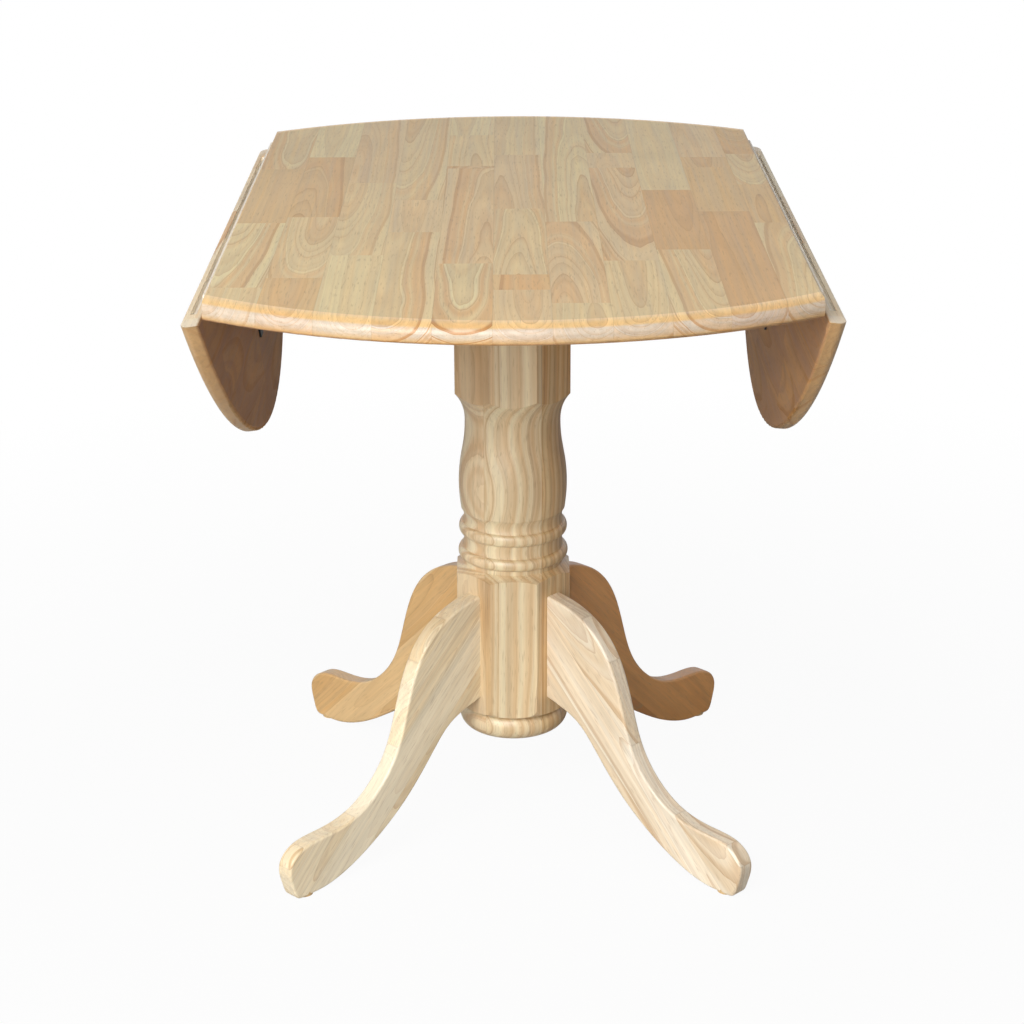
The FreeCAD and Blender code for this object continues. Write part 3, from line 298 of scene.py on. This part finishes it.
def finish_wood(material, shader, board, chance, tone, figure, line, colours, strengths):
    """Colour lacquered rubberwood from its board tone, rings, pores, streaks and glue lines.

    figure is what grow_rings returns, and line is the glue line as a share. colours are those of warm
    wood, late wood and pores. strengths say how much of the warm wood and of the late wood shows.
    """
    warm_colour, late_colour, pore_colour = colours
    open_pores, streaks, clouds = draw_grain(material, board, chance)
    stained = stain_wood(material, tone, figure, chance, (warm_colour, late_colour), strengths)
    tone = vary_wood(material, stained, streaks, clouds)
    for share, most in ((open_pores, PORE_SHARE), (line, GLUE_SHARE)):
        factor = add_node(material, "ShaderNodeMath", {0: share, 1: most}, operation="MULTIPLY")
        darkened = add_node(material, "ShaderNodeMix",
                            {"Factor": factor.outputs[0], "A": tone, "B": to_linear(pore_colour)},
                            data_type="RGBA")
        tone = darkened.outputs["Result"]
    lacquer_wood(material, shader, tone, open_pores, streaks)


GLUE_LINE = 0.0006


def split_boards(material, across, width, start):
    """Divide a glued-up blank across its boards.

    Returns a board's number, the place across it from its middle, and its glue line as a share.
    """
    placed = add_node(material, "ShaderNodeMath", {0: across, 1: start}, operation="SUBTRACT")
    counted = add_node(material, "ShaderNodeMath", {0: placed.outputs[0], 1: width}, operation="DIVIDE")
    number = add_node(material, "ShaderNodeMath", {0: counted.outputs[0]}, operation="FLOOR")
    share = add_node(material, "ShaderNodeMath", {0: counted.outputs[0]}, operation="FRACT")
    middle = add_node(material, "ShaderNodeMath", {0: share.outputs[0], 1: 1 / 2}, operation="SUBTRACT")
    inside = add_node(material, "ShaderNodeMath", {0: middle.outputs[0], 1: width}, operation="MULTIPLY")
    reach = add_node(material, "ShaderNodeMath", {0: inside.outputs[0]}, operation="ABSOLUTE")
    line = add_node(material, "ShaderNodeMapRange",
                    {"Value": reach.outputs[0], "From Min": width / 2 - GLUE_LINE, "From Max": width / 2})
    return number.outputs[0], inside.outputs[0], line.outputs[0]


def cast_lots(material, number, block, seed):
    """Return three random shares for each block of each board."""
    numbers = add_node(material, "ShaderNodeCombineXYZ", {0: number, 1: block, 2: seed})
    lots = add_node(material, "ShaderNodeTexWhiteNoise", {"Vector": numbers.outputs[0]},
                    noise_dimensions="3D")
    shares = add_node(material, "ShaderNodeSeparateColor", {0: lots.outputs["Color"]})
    return [shares.outputs[at] for at in range(3)]


COLUMN_BOARD = 0.068
COLUMN_HEART = (0.08, 0.02, 0.02)
COLUMN_SEED = 4.0
# The column has three laminations: numbers -1, 0 and 1
COLUMN_TONES = [(0.0, "#E3D1AD"), (0.5, "#DFCDA7"), (1.0, "#D4B787")]
COLUMN_COLOURS = ("#C69C68", "#9C6C40", "#8A6844")
COLUMN_FIGURE_SHARES = (0.85, 0.9)

lacquered_column, shader = new_material("lacquered_rubberwood_column")
place = add_node(lacquered_column, "ShaderNodeTexCoord")
axes = add_node(lacquered_column, "ShaderNodeSeparateXYZ", {0: place.outputs["Object"]})
number, inside, line = split_boards(lacquered_column, axes.outputs[0], COLUMN_BOARD, -COLUMN_BOARD / 2)
board = (inside, axes.outputs[2], axes.outputs[1])
chance = cast_lots(lacquered_column, number, 0.0, COLUMN_SEED)
figure = grow_rings(lacquered_column, board, chance, COLUMN_HEART)
order = add_node(lacquered_column, "ShaderNodeMapRange",
                 {"Value": number, "From Min": -1.0, "From Max": 1.0})
tone = pick_tone(lacquered_column, order.outputs[0], COLUMN_TONES)
finish_wood(lacquered_column, shader, board, chance, tone, figure, line, COLUMN_COLOURS,
            COLUMN_FIGURE_SHARES)
dress(lacquered_column, "column")


# Legs
# Four S-shaped rubberwood legs, band-sawn from blanks glued up of straight strips, with eased edges.
# The strips run down and out along each leg, so their glue lines cross its edge. Each leg has its own
# wood, from nearly white to brown, under the column's lacquer; the white is partly a painted highlight,
# and the brown partly painted shade from the column.
LEG_STRIP = 0.046
LEG_STRIP_START = 0.012
LEG_GRAIN_DOWN = math.radians(43)
# The front right leg's white tones are partly a painted highlight, and the rear right leg's brown ones partly
# painted shade from the column
WHITE_AND_PAINTED_HIGHLIGHT_TONES = [(0.0, "#F1E8D8"), (0.5, "#EEE3CF"), (1.0, "#E6D6BC")]
PALE_TONES = [(0.0, "#F3E6CA"), (0.5, "#EFDFBE"), (1.0, "#E7D2AA")]
GOLD_TONES = [(0.0, "#E0BE8A"), (0.5, "#DDB881"), (1.0, "#D5AC72")]
BROWN_AND_PAINTED_SHADE_TONES = [(0.0, "#E4A55F"), (0.5, "#D79552"), (1.0, "#CE8A47")]
LEG_LATE_COLOUR = "#B88E5C"
LEG_PORE_COLOUR = "#9C7A52"
LEG_FIGURE_SHARES = (0.7, 0.9)
# Each leg's bearing round the column in degrees, its board tones and its warm colour
LEGS = {
    "front_left_leg": (225, PALE_TONES, "#DFC08E"),
    "front_right_leg": (315, WHITE_AND_PAINTED_HIGHLIGHT_TONES, "#E2C8A2"),
    "rear_right_leg": (45, BROWN_AND_PAINTED_SHADE_TONES, "#B87B3E"),
    "rear_left_leg": (135, GOLD_TONES, "#D2A466"),
}

for leg, (bearing, tones, warm_colour) in LEGS.items():
    lacquered_leg, shader = new_material(f"lacquered_rubberwood_{leg}")
    place = add_node(lacquered_leg, "ShaderNodeTexCoord")
    faced = add_node(lacquered_leg, "ShaderNodeMapping",
                     {"Vector": place.outputs["Object"], "Rotation": (0.0, 0.0, -math.radians(bearing))})
    laid = add_node(lacquered_leg, "ShaderNodeMapping",
                    {"Vector": faced.outputs[0], "Rotation": (0.0, -LEG_GRAIN_DOWN, 0.0)})
    axes = add_node(lacquered_leg, "ShaderNodeSeparateXYZ", {0: laid.outputs[0]})
    number, inside, line = split_boards(lacquered_leg, axes.outputs[2], LEG_STRIP, LEG_STRIP_START)
    board = (inside, axes.outputs[0], axes.outputs[1])
    chance = cast_lots(lacquered_leg, number, 0.0, float(bearing))
    figure = grow_rings(lacquered_leg, board, chance, find_heart(lacquered_leg, chance))
    tone = pick_tone(lacquered_leg, chance[1], tones)
    finish_wood(lacquered_leg, shader, board, chance, tone, figure, line,
                (warm_colour, LEG_LATE_COLOUR, LEG_PORE_COLOUR), LEG_FIGURE_SHARES)
    dress(lacquered_leg, leg)


# Leg bolts, washers and nuts, and the plates and screws under the top
# Zinc-plated steel: pressed, cut or cold-headed, then plated, which leaves a bright grey with a
# faint haze.
def finish_speckled(material, shader, noise, colours, sheen, relief):
    """Finish a hard skin whose colour, roughness and relief follow one fine noise.

    colours and sheen are the two ends of its hex colour and of its roughness. relief is the depth and
    the strength of its bumps.
    """
    place = add_node(material, "ShaderNodeTexCoord")
    specks = draw_noise(material, place.outputs["Object"], *noise)
    dark, light = [to_linear(code) for code in colours]
    tint = add_node(material, "ShaderNodeMix", {"Factor": specks, "A": dark, "B": light}, data_type="RGBA")
    rough = add_node(material, "ShaderNodeMapRange",
                     {"Value": specks, "From Min": NOISE_LOW_SHARE, "From Max": NOISE_HIGH_SHARE,
                      "To Min": sheen[0], "To Max": sheen[1]})
    skin = add_node(material, "ShaderNodeBump",
                    {"Distance": relief[0], "Strength": relief[1], "Height": specks})
    feed_shader(material, shader, Base_Color=tint.outputs["Result"], Roughness=rough.outputs[0],
                Normal=skin.outputs[0])


# The haze's crystals are finer than a pixel; they are drawn 4 mm wide, so that they show
ZINC_NOISE = ((4.167, 4.167, 4.167), 4.0, 0.5)
ZINC_COLOURS = ("#A9ADB0", "#C4C6C6")
ZINC_ROUGHNESS = (0.28, 0.42)
ZINC_RELIEF = (0.0001, 0.15)

zinc_plate, shader = new_material("bright_zinc_plated_steel")
finish_speckled(zinc_plate, shader, ZINC_NOISE, ZINC_COLOURS, ZINC_ROUGHNESS, ZINC_RELIEF)
shader.inputs["Metallic"].default_value = 1.0
dress(zinc_plate, "leg_hanger_bolts", "leg_washers", "leg_nuts", "mounting_plate", "plate_column_screws",
      "plate_top_bolts", "top_inserts", "panel_hinge_screws", "hinge_pins")


# Foot glides
# Four moulded discs of tan nylon, let into the toes, so that the table slides on a floor.
# Moulding leaves a matt skin with fine specks.
NYLON_NOISE = ((1.111, 1.111, 1.111), 3.0, 0.5)
NYLON_COLOURS = ("#C9A877", "#D4B586")
NYLON_ROUGHNESS = (0.5, 0.65)
NYLON_RELIEF = (0.0001, 0.2)
NYLON_IOR = 1.53

moulded_nylon, shader = new_material("moulded_tan_nylon")
finish_speckled(moulded_nylon, shader, NYLON_NOISE, NYLON_COLOURS, NYLON_ROUGHNESS, NYLON_RELIEF)
shader.inputs["IOR"].default_value = NYLON_IOR
dress(moulded_nylon, "foot_glides")


# Fixed middle panel
# Staves of rubberwood, 58 mm wide, made of blocks butted end to end and glued edge to edge, running
# from front to back. The round rim is moulded and shows end grain, which the lacquer turns warmer.
# The pale band on the panel rim's face is a painted reflection of the front lamps
STAVE = 0.0578
STAVE_START = -0.0206
panel_low, panel_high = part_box("top_panel")
TOP_HEIGHT = panel_high.z
TOP_THICKNESS = panel_high.z - panel_low.z
TOP_RADIUS = panel_high.y
TOP_SEED = 1.0
PALE, TAN, PINK, WARM, BROWN = 0.0, 0.25, 0.5, 0.75, 1.0
TOP_TONES = [
    (PALE, "#DCC997"),
    (TAN, "#D9C290"),
    (PINK, "#D7BC8C"),
    (WARM, "#D2B079"),
    (BROWN, "#CAA169"),
]
TOP_COLOURS = ("#CE9F65", "#AA763C", "#8A6640")
# For each stave, from the front: each block's tone and the place of its far end, in metres from the middle
PLAN_REACH = 0.6
PANEL_PLAN = {
    -5: [(TAN, -0.385), (PALE, -0.104), (WARM, 0.181), (TAN, PLAN_REACH)],
    -4: [(WARM, -0.347), (TAN, -0.076), (WARM, 0.249), (PALE, PLAN_REACH)],
    -3: [(PALE, -0.257), (TAN, 0.101), (PINK, PLAN_REACH)],
    -2: [(TAN, -0.154), (PINK, 0.006), (TAN, PLAN_REACH)],
    -1: [(PALE, -0.294), (PINK, 0.193), (TAN, 0.387), (PALE, PLAN_REACH)],
    0: [(PINK, -0.4), (WARM, -0.342), (TAN, -0.038), (PINK, 0.262), (TAN, PLAN_REACH)],
    1: [(TAN, -0.452), (PINK, -0.104), (PALE, PLAN_REACH)],
    2: [(TAN, -0.284), (PINK, 0.271), (TAN, PLAN_REACH)],
    3: [(TAN, -0.238), (BROWN, 0.052), (TAN, PLAN_REACH)],
    4: [(BROWN, -0.057), (WARM, 0.243), (PINK, PLAN_REACH)],
    5: [(TAN, -0.113), (WARM, 0.081), (TAN, 0.259), (WARM, PLAN_REACH)],
}
# A block's number is read as a share of the most blocks that a stave could have
MOST_BLOCKS = 10
# Two stave numbers nearer than this are the same
SAME_NUMBER = 0.5


def plan_share(place):
    """Turn a place along the panel, in metres from its middle, into a share of the plan's length."""
    return place / (2 * PLAN_REACH) + 1 / 2


def read_plan(material, number, along):
    """Look a block up in the plan. Returns its tone, its number and its middle, each as a share."""
    share = add_node(material, "ShaderNodeMath", {0: along, 1: 1 / (2 * PLAN_REACH), 2: 1 / 2},
                     operation="MULTIPLY_ADD")
    found = None
    for stave, blocks in PANEL_PLAN.items():
        stops = []
        near = -PLAN_REACH
        for count, (tone, far) in enumerate(blocks):
            middle = plan_share((near + far) / 2)
            stops.append((plan_share(near), (tone, count / MOST_BLOCKS, middle, 1.0)))
            near = far
        ramp = add_node(material, "ShaderNodeValToRGB", {0: share.outputs[0]})
        set_stops(ramp, stops, "CONSTANT")
        here = add_node(material, "ShaderNodeMath", {0: number, 1: float(stave), 2: SAME_NUMBER},
                        operation="COMPARE")
        if found is None:
            found = ramp.outputs["Color"]
        else:
            picked = add_node(material, "ShaderNodeMix",
                              {"Factor": here.outputs[0], "A": found, "B": ramp.outputs["Color"]},
                              data_type="RGBA")
            found = picked.outputs["Result"]
    parts = add_node(material, "ShaderNodeSeparateColor", {0: found})
    return [parts.outputs[at] for at in range(3)]


# The moulded rim's tones at shares of the thickness, from the top down: roundover, face and lower edge. On
# the panel the pale face band is a painted reflection of the front lamps; the leaves keep the end grain's
# orange brown
PANEL_RIM_TONES_WITH_PAINTED_REFLECTION = [
    (0.0, "#F8D08C"),
    (0.04, "#EAC080"),
    (0.14, "#D8B177"),
    (0.22, "#BCB2A9"),
    (0.6, "#BDB0A4"),
    (0.85, "#B9905F"),
]
LEAF_RIM_TONES = [
    (0.0, "#F0C885"),
    (0.04, "#E2B878"),
    (0.14, "#CDA267"),
    (0.25, "#BC9261"),
    (0.85, "#AC7E4B"),
]
RIM_WIDTH = 0.02128
RIM_START = TOP_RADIUS - RIM_WIDTH
RIM_SHARE = 0.78
# On the flat and on the rim: how much coat, warm wood and late wood shows
RIM_COAT_SHARES = (0.1, 0.5)
RIM_WARM_SHARES = (0.78, 0.5)
RIM_LATE_SHARES = (0.85, 1.3)
UNDERSIDE_RISE = 0.0025
UNDERSIDE_START = UNDERSIDE_RISE - TOP_THICKNESS
UNDERSIDE_COLOUR = "#B48A64"
# How much the top and the underside mirror
UNDERSIDE_SHINE_SHARES = (0.25, 0.12)
# One tone turns into the next over this length
TONE_FADE = 0.001


def tone_rim(material, axes, tone, rim_grain_and_painted_reflection_tones):
    """Give the moulded rim its own tones, with the panel's painted reflection on its face. Returns the tone,
    and the rim as a share.
    """
    level_place = add_node(material, "ShaderNodeCombineXYZ", {0: axes.outputs[0], 1: axes.outputs[1]})
    out = add_node(material, "ShaderNodeVectorMath", {0: level_place.outputs[0]}, operation="LENGTH")
    rim = add_node(material, "ShaderNodeMapRange",
                   {"Value": out.outputs["Value"], "From Min": RIM_START, "From Max": RIM_START + TONE_FADE})
    sunk = add_node(material, "ShaderNodeMath", {0: axes.outputs[2], 1: -TOP_THICKNESS}, operation="DIVIDE")
    rim_grain_and_reflection_tone = pick_tone(material, sunk.outputs[0], rim_grain_and_painted_reflection_tones)
    factor = add_node(material, "ShaderNodeMath", {0: rim.outputs[0], 1: RIM_SHARE}, operation="MULTIPLY")
    rim_toned = add_node(material, "ShaderNodeMix", {"Factor": factor.outputs[0], "A": tone, "B": rim_grain_and_reflection_tone},
                      data_type="RGBA")
    return rim_toned.outputs["Result"], rim.outputs[0]


def tone_underside(material, axes, tone):
    """Make the underside duller and browner. Returns the tone, and the underside as a share."""
    under = add_node(material, "ShaderNodeMapRange",
                     {"Value": axes.outputs[2], "From Min": UNDERSIDE_START,
                      "From Max": UNDERSIDE_START - TONE_FADE})
    browned = add_node(material, "ShaderNodeMix",
                       {"Factor": under.outputs[0], "A": tone, "B": to_linear(UNDERSIDE_COLOUR)},
                       data_type="RGBA")
    return browned.outputs["Result"], under.outputs[0]


TONGUE_LENGTH = 0.0045
SEAM = panel_high.x - TONGUE_LENGTH
# How far outside the seam the sawn edge and the tongue lie, where highlights are painted, and how far they
# reach to both sides
HIGHLIT_EDGE_OUT, HIGHLIT_EDGE_REACH = 0.0011, 0.0006
# The sawn edges get a painted highlight, and the tongue and the groove a near-white painted light over their
# shade
SEAM_PAINTED_HIGHLIGHT_COLOUR = "#EEE0C0"
SEAM_PAINTED_HIGHLIGHT_SHARE = 0.75
TONGUE_OUT, TONGUE_REACH = 0.0041, 0.0023
GROOVE_HALF_HEIGHT = 0.0037
GROOVE_END = 0.41
GROOVE_PAINTED_LIGHT_COLOUR = "#F0E7D6"


def paint_seam_light(material, axes, tone):
    """Paint a highlight on the sawn edges, and paint the tongue and the groove near white over their shade.
    Returns the tone and that painted light as a share.
    """
    aside = add_node(material, "ShaderNodeMath", {0: axes.outputs[0]}, operation="ABSOLUTE")
    highlit_edge = add_node(material, "ShaderNodeMath", {0: aside.outputs[0], 1: SEAM + HIGHLIT_EDGE_OUT, 2: HIGHLIT_EDGE_REACH},
                    operation="COMPARE")
    factor = add_node(material, "ShaderNodeMath", {0: highlit_edge.outputs[0], 1: SEAM_PAINTED_HIGHLIGHT_SHARE}, operation="MULTIPLY")
    edge_highlighted = add_node(material, "ShaderNodeMix",
                         {"Factor": factor.outputs[0], "A": tone, "B": to_linear(SEAM_PAINTED_HIGHLIGHT_COLOUR)},
                         data_type="RGBA")
    near_seam = add_node(material, "ShaderNodeMath",
                         {0: aside.outputs[0], 1: SEAM + TONGUE_OUT, 2: TONGUE_REACH}, operation="COMPARE")
    level = add_node(material, "ShaderNodeMath",
                     {0: axes.outputs[2], 1: -TOP_THICKNESS / 2, 2: GROOVE_HALF_HEIGHT}, operation="COMPARE")
    lengthways = add_node(material, "ShaderNodeMath", {0: axes.outputs[1]}, operation="ABSOLUTE")
    short = add_node(material, "ShaderNodeMath", {0: lengthways.outputs[0], 1: GROOVE_END},
                     operation="LESS_THAN")
    edgeways = add_node(material, "ShaderNodeMath", {0: near_seam.outputs[0], 1: level.outputs[0]},
                        operation="MULTIPLY")
    painted_tongue_and_groove_light = add_node(material, "ShaderNodeMath", {0: edgeways.outputs[0], 1: short.outputs[0]},
                   operation="MULTIPLY")
    seam_painted_tone = add_node(material, "ShaderNodeMix",
                     {"Factor": painted_tongue_and_groove_light.outputs[0], "A": edge_highlighted.outputs["Result"], "B": to_linear(GROOVE_PAINTED_LIGHT_COLOUR)},
                     data_type="RGBA")
    return seam_painted_tone.outputs["Result"], painted_tongue_and_groove_light.outputs[0]


def weigh_figure(material, rim, painted_tongue_and_groove_light):
    """Say how much of the warm and of the late wood shows: otherwise on the rim, and not under the tongue and
    groove's painted light.
    """
    figured = add_node(material, "ShaderNodeMath", {0: 1.0, 1: painted_tongue_and_groove_light}, operation="SUBTRACT")
    strengths = []
    for inner, outer in (RIM_WARM_SHARES, RIM_LATE_SHARES):
        strength = add_node(material, "ShaderNodeMapRange", {"Value": rim, "To Min": inner, "To Max": outer})
        shown = add_node(material, "ShaderNodeMath", {0: strength.outputs[0], 1: figured.outputs[0]},
                         operation="MULTIPLY")
        strengths.append(shown.outputs[0])
    return strengths


def coat_top(material, shader, rim, under):
    """Coat the rim more than the flat, and leave the underside uncoated and dull."""
    flat_share, rim_share = RIM_COAT_SHARES
    gloss = add_node(material, "ShaderNodeMapRange",
                     {"Value": rim, "To Min": flat_share, "To Max": rim_share})
    coated = add_node(material, "ShaderNodeMath", {0: 1.0, 1: under}, operation="SUBTRACT")
    coat = add_node(material, "ShaderNodeMath", {0: gloss.outputs[0], 1: coated.outputs[0]},
                    operation="MULTIPLY")
    top_share, under_share = UNDERSIDE_SHINE_SHARES
    shine = add_node(material, "ShaderNodeMapRange",
                     {"Value": under, "To Min": top_share, "To Max": under_share})
    feed_shader(material, shader, Coat_Weight=coat.outputs[0], Specular_IOR_Level=shine.outputs[0])


def colour_top(material, shader, axes, stave, along, block, tone, rim_grain_and_painted_reflection_tones):
    """Finish a board of the round top: blocks, warm rim with the panel's painted reflection, dull brown
    underside, and seams with painted highlights and painted light.

    stave is what split_boards returns, along is the place from a block's middle, and tone is a share.
    """
    number, inside, line = stave
    board = (inside, along, axes.outputs[2])
    chance = cast_lots(material, number, block, TOP_SEED)
    figure = grow_rings(material, board, chance, find_heart(material, chance))
    block_tone = pick_tone(material, tone, TOP_TONES)
    rimmed, rim = tone_rim(material, axes, block_tone, rim_grain_and_painted_reflection_tones)
    browned, under = tone_underside(material, axes, rimmed)
    seam_painted_tone, painted_tongue_and_groove_light = paint_seam_light(material, axes, browned)
    strengths = weigh_figure(material, rim, painted_tongue_and_groove_light)
    finish_wood(material, shader, board, chance, seam_painted_tone, figure, line, TOP_COLOURS, strengths)
    coat_top(material, shader, rim, under)


lacquered_panel, shader = new_material("lacquered_rubberwood_panel")
place = add_node(lacquered_panel, "ShaderNodeTexCoord")
raised = add_node(lacquered_panel, "ShaderNodeMapping",
                  {"Vector": place.outputs["Object"], "Location": (0.0, 0.0, -TOP_HEIGHT)})
axes = add_node(lacquered_panel, "ShaderNodeSeparateXYZ", {0: raised.outputs[0]})
stave = split_boards(lacquered_panel, axes.outputs[0], STAVE, STAVE_START)
tone, block, middle = read_plan(lacquered_panel, stave[0], axes.outputs[1])
centre = add_node(lacquered_panel, "ShaderNodeMath", {0: middle, 1: 2 * PLAN_REACH, 2: -PLAN_REACH},
                  operation="MULTIPLY_ADD")
along = add_node(lacquered_panel, "ShaderNodeMath", {0: axes.outputs[1], 1: centre.outputs[0]},
                 operation="SUBTRACT")
colour_top(lacquered_panel, shader, axes, stave, along.outputs[0], block, tone, PANEL_RIM_TONES_WITH_PAINTED_REFLECTION)
dress(lacquered_panel, "top_panel")


# Drop leaves
# Glued up like the panel and cut from the same round. Each hangs on its hinges past upright,
# so its grain is laid in the flat, raised leaf and turned down with it.
SIDES = ("left", "right")
JOINTS = {joint["name"]: joint for joint in frame["joints"]}
LEAF_BLOCK = 0.24
LEAF_SEED = 9.0
LEAF_HARDWARE = ("front_panel_hinge_plate", "rear_panel_hinge_plate", "front_leaf_hinge_plate",
                 "rear_leaf_hinge_plate", "leaf_hinge_screws", "panel_stay_screws", "leaf_stay_screws")

for side in SIDES:
    lacquered_leaf, shader = new_material(f"lacquered_rubberwood_{side}_leaf")
    joint = JOINTS[f"{side}_leaf_hinge"]
    turn = joint["axis"][1] * math.radians(joint["range_deg"][1])
    hinge = Vector(joint["pos_m"])
    sign = math.copysign(1, hinge.x)
    offset = hinge - Matrix.Rotation(turn, 4, "Y") @ hinge - Vector((0.0, 0.0, TOP_HEIGHT))
    place = add_node(lacquered_leaf, "ShaderNodeTexCoord")
    raised = add_node(lacquered_leaf, "ShaderNodeMapping",
                      {"Vector": place.outputs["Object"], "Location": offset, "Rotation": (0.0, turn, 0.0)})
    axes = add_node(lacquered_leaf, "ShaderNodeSeparateXYZ", {0: raised.outputs[0]})
    stave = split_boards(lacquered_leaf, axes.outputs[0], STAVE, sign * SEAM)
    shuffled = add_node(lacquered_leaf, "ShaderNodeTexWhiteNoise", {"W": stave[0]}, noise_dimensions="1D")
    slid = add_node(lacquered_leaf, "ShaderNodeMath", {0: shuffled.outputs["Value"], 1: axes.outputs[1]},
                    operation="ADD")
    counted = add_node(lacquered_leaf, "ShaderNodeMath", {0: slid.outputs[0], 1: LEAF_BLOCK},
                       operation="DIVIDE")
    block = add_node(lacquered_leaf, "ShaderNodeMath", {0: counted.outputs[0]}, operation="FLOOR")
    share = add_node(lacquered_leaf, "ShaderNodeMath", {0: counted.outputs[0]}, operation="FRACT")
    along = add_node(lacquered_leaf, "ShaderNodeMath",
                     {0: share.outputs[0], 1: LEAF_BLOCK, 2: -LEAF_BLOCK / 2}, operation="MULTIPLY_ADD")
    lots = cast_lots(lacquered_leaf, stave[0], block.outputs[0], LEAF_SEED + sign)
    colour_top(lacquered_leaf, shader, axes, stave, along.outputs[0], block.outputs[0], lots[0],
               LEAF_RIM_TONES)
    dress(lacquered_leaf, f"{side}_leaf")
    dress(zinc_plate, *[f"{side}_{name}" for name in LEAF_HARDWARE])


# Folding stays
# Pressed steel brackets and strips on rivets, dipped in black enamel, which dries to a soft gloss
# with a fine orange-peel skin.
ENAMEL_NOISE = ((1.667, 1.667, 1.667), 2.0, 0.5)
ENAMEL_COLOURS = ("#171717", "#262625")
ENAMEL_ROUGHNESS = (0.3, 0.42)
ENAMEL_RELIEF = (0.0001, 0.2)
STAY_PIECES = ("panel_bracket", "panel_rivet", "panel_arm", "elbow_rivet", "leaf_arm", "leaf_bracket",
               "leaf_rivet")

black_enamel, shader = new_material("black_enamelled_steel")
finish_speckled(black_enamel, shader, ENAMEL_NOISE, ENAMEL_COLOURS, ENAMEL_ROUGHNESS, ENAMEL_RELIEF)
for side in SIDES:
    dress(black_enamel, *[f"{side}_stay_{name}" for name in STAY_PIECES])


# Floor, backdrop and light
# A pale floor and a white world behind it, which together make the white backdrop of a studio.
# Large soft lamps stand in front, mostly to the left.
FLOOR_REACH = 16.0
FLOOR_COLOUR = "#C4C4C2"
FLOOR_ROUGHNESS = 0.9
# The camera sees the floor mostly as white, but near the table it keeps a little shadow
NEAR_FLOOR, FAR_FLOOR = 0.6, 1.8
NEAR_WHITE_SHARE = 0.95
WHITE = (1.0, 1.0, 1.0, 1.0)

pale_floor, shader = new_material("matte_white_floor")
shader.inputs["Base Color"].default_value = to_linear(FLOOR_COLOUR)
shader.inputs["Roughness"].default_value = FLOOR_ROUGHNESS
shine = add_node(pale_floor, "ShaderNodeEmission", {"Color": WHITE, "Strength": 1.0})
path = add_node(pale_floor, "ShaderNodeLightPath")
place = add_node(pale_floor, "ShaderNodeTexCoord")
out = add_node(pale_floor, "ShaderNodeVectorMath", {0: place.outputs["Object"]}, operation="LENGTH")
white = add_node(pale_floor, "ShaderNodeMapRange",
                 {"Value": out.outputs["Value"], "From Min": NEAR_FLOOR, "From Max": FAR_FLOOR,
                  "To Min": NEAR_WHITE_SHARE, "To Max": 1.0})
share = add_node(pale_floor, "ShaderNodeMath", {0: path.outputs["Is Camera Ray"], 1: white.outputs[0]},
                 operation="MULTIPLY")
both = add_node(pale_floor, "ShaderNodeMixShader",
                {0: share.outputs[0], 1: shader.outputs[0], 2: shine.outputs[0]})
ground = pale_floor.node_tree.get_output_node("ALL")
pale_floor.node_tree.links.new(both.outputs[0], ground.inputs["Surface"])

sheet = bmesh.new()
bmesh.ops.create_grid(sheet, x_segments=1, y_segments=1, size=FLOOR_REACH)
floor_mesh = bpy.data.meshes.new("floor")
sheet.to_mesh(floor_mesh)
sheet.free()
floor_mesh.materials.append(pale_floor)
floor = bpy.data.objects.new("floor", floor_mesh)
bpy.context.scene.collection.objects.link(floor)

SKY_COLOUR = "#F4F7FF"
SKY_STRENGTH = 0.16

world = bpy.data.worlds.new("white_studio")
bpy.context.scene.world = world
world.use_nodes = True
world.node_tree.nodes.clear()
seen = add_node(world, "ShaderNodeBackground", {"Color": WHITE, "Strength": 1.0})
lit = add_node(world, "ShaderNodeBackground", {"Color": to_linear(SKY_COLOUR), "Strength": SKY_STRENGTH})
path = add_node(world, "ShaderNodeLightPath")
mirrored = add_node(world, "ShaderNodeMath",
                    {0: path.outputs["Is Camera Ray"], 1: path.outputs["Is Glossy Ray"]},
                    operation="MAXIMUM")
shown = add_node(world, "ShaderNodeMath", {0: mirrored.outputs[0], 1: path.outputs["Is Transmission Ray"]},
                 operation="MAXIMUM")
choice = add_node(world, "ShaderNodeMixShader", {0: shown.outputs[0], 1: lit.outputs[0], 2: seen.outputs[0]})
add_node(world, "ShaderNodeOutputWorld", {"Surface": choice.outputs[0]})

# Each lamp's place, its width and height, and its power in watts
LAMPS = {
    "front": ((-1.5, -3.5, 1.9), (3.0, 2.6), 103.0),
    "key": ((-1.0, -2.6, 2.9), (2.4, 2.4), 92.0),
    "fill": ((2.6, -2.6, 1.0), (2.0, 2.0), 3.0),
    "side": ((-3.2, -1.2, 0.8), (1.6, 1.6), 7.0),
}
LAMP_TARGET = Vector((0.0, 0.0, 0.45))

for name, (spot, (width, height), watts) in LAMPS.items():
    lamp = bpy.data.lights.new(f"{name}_softbox", "AREA")
    lamp.shape = "RECTANGLE"
    lamp.size = width
    lamp.size_y = height
    lamp.energy = watts
    stand = bpy.data.objects.new(f"{name}_softbox", lamp)
    stand.location = spot
    stand.rotation_euler = (LAMP_TARGET - Vector(spot)).to_track_quat("-Z", "Y").to_euler()
    bpy.context.scene.collection.objects.link(stand)

bpy.context.scene.view_settings.view_transform = "Standard"
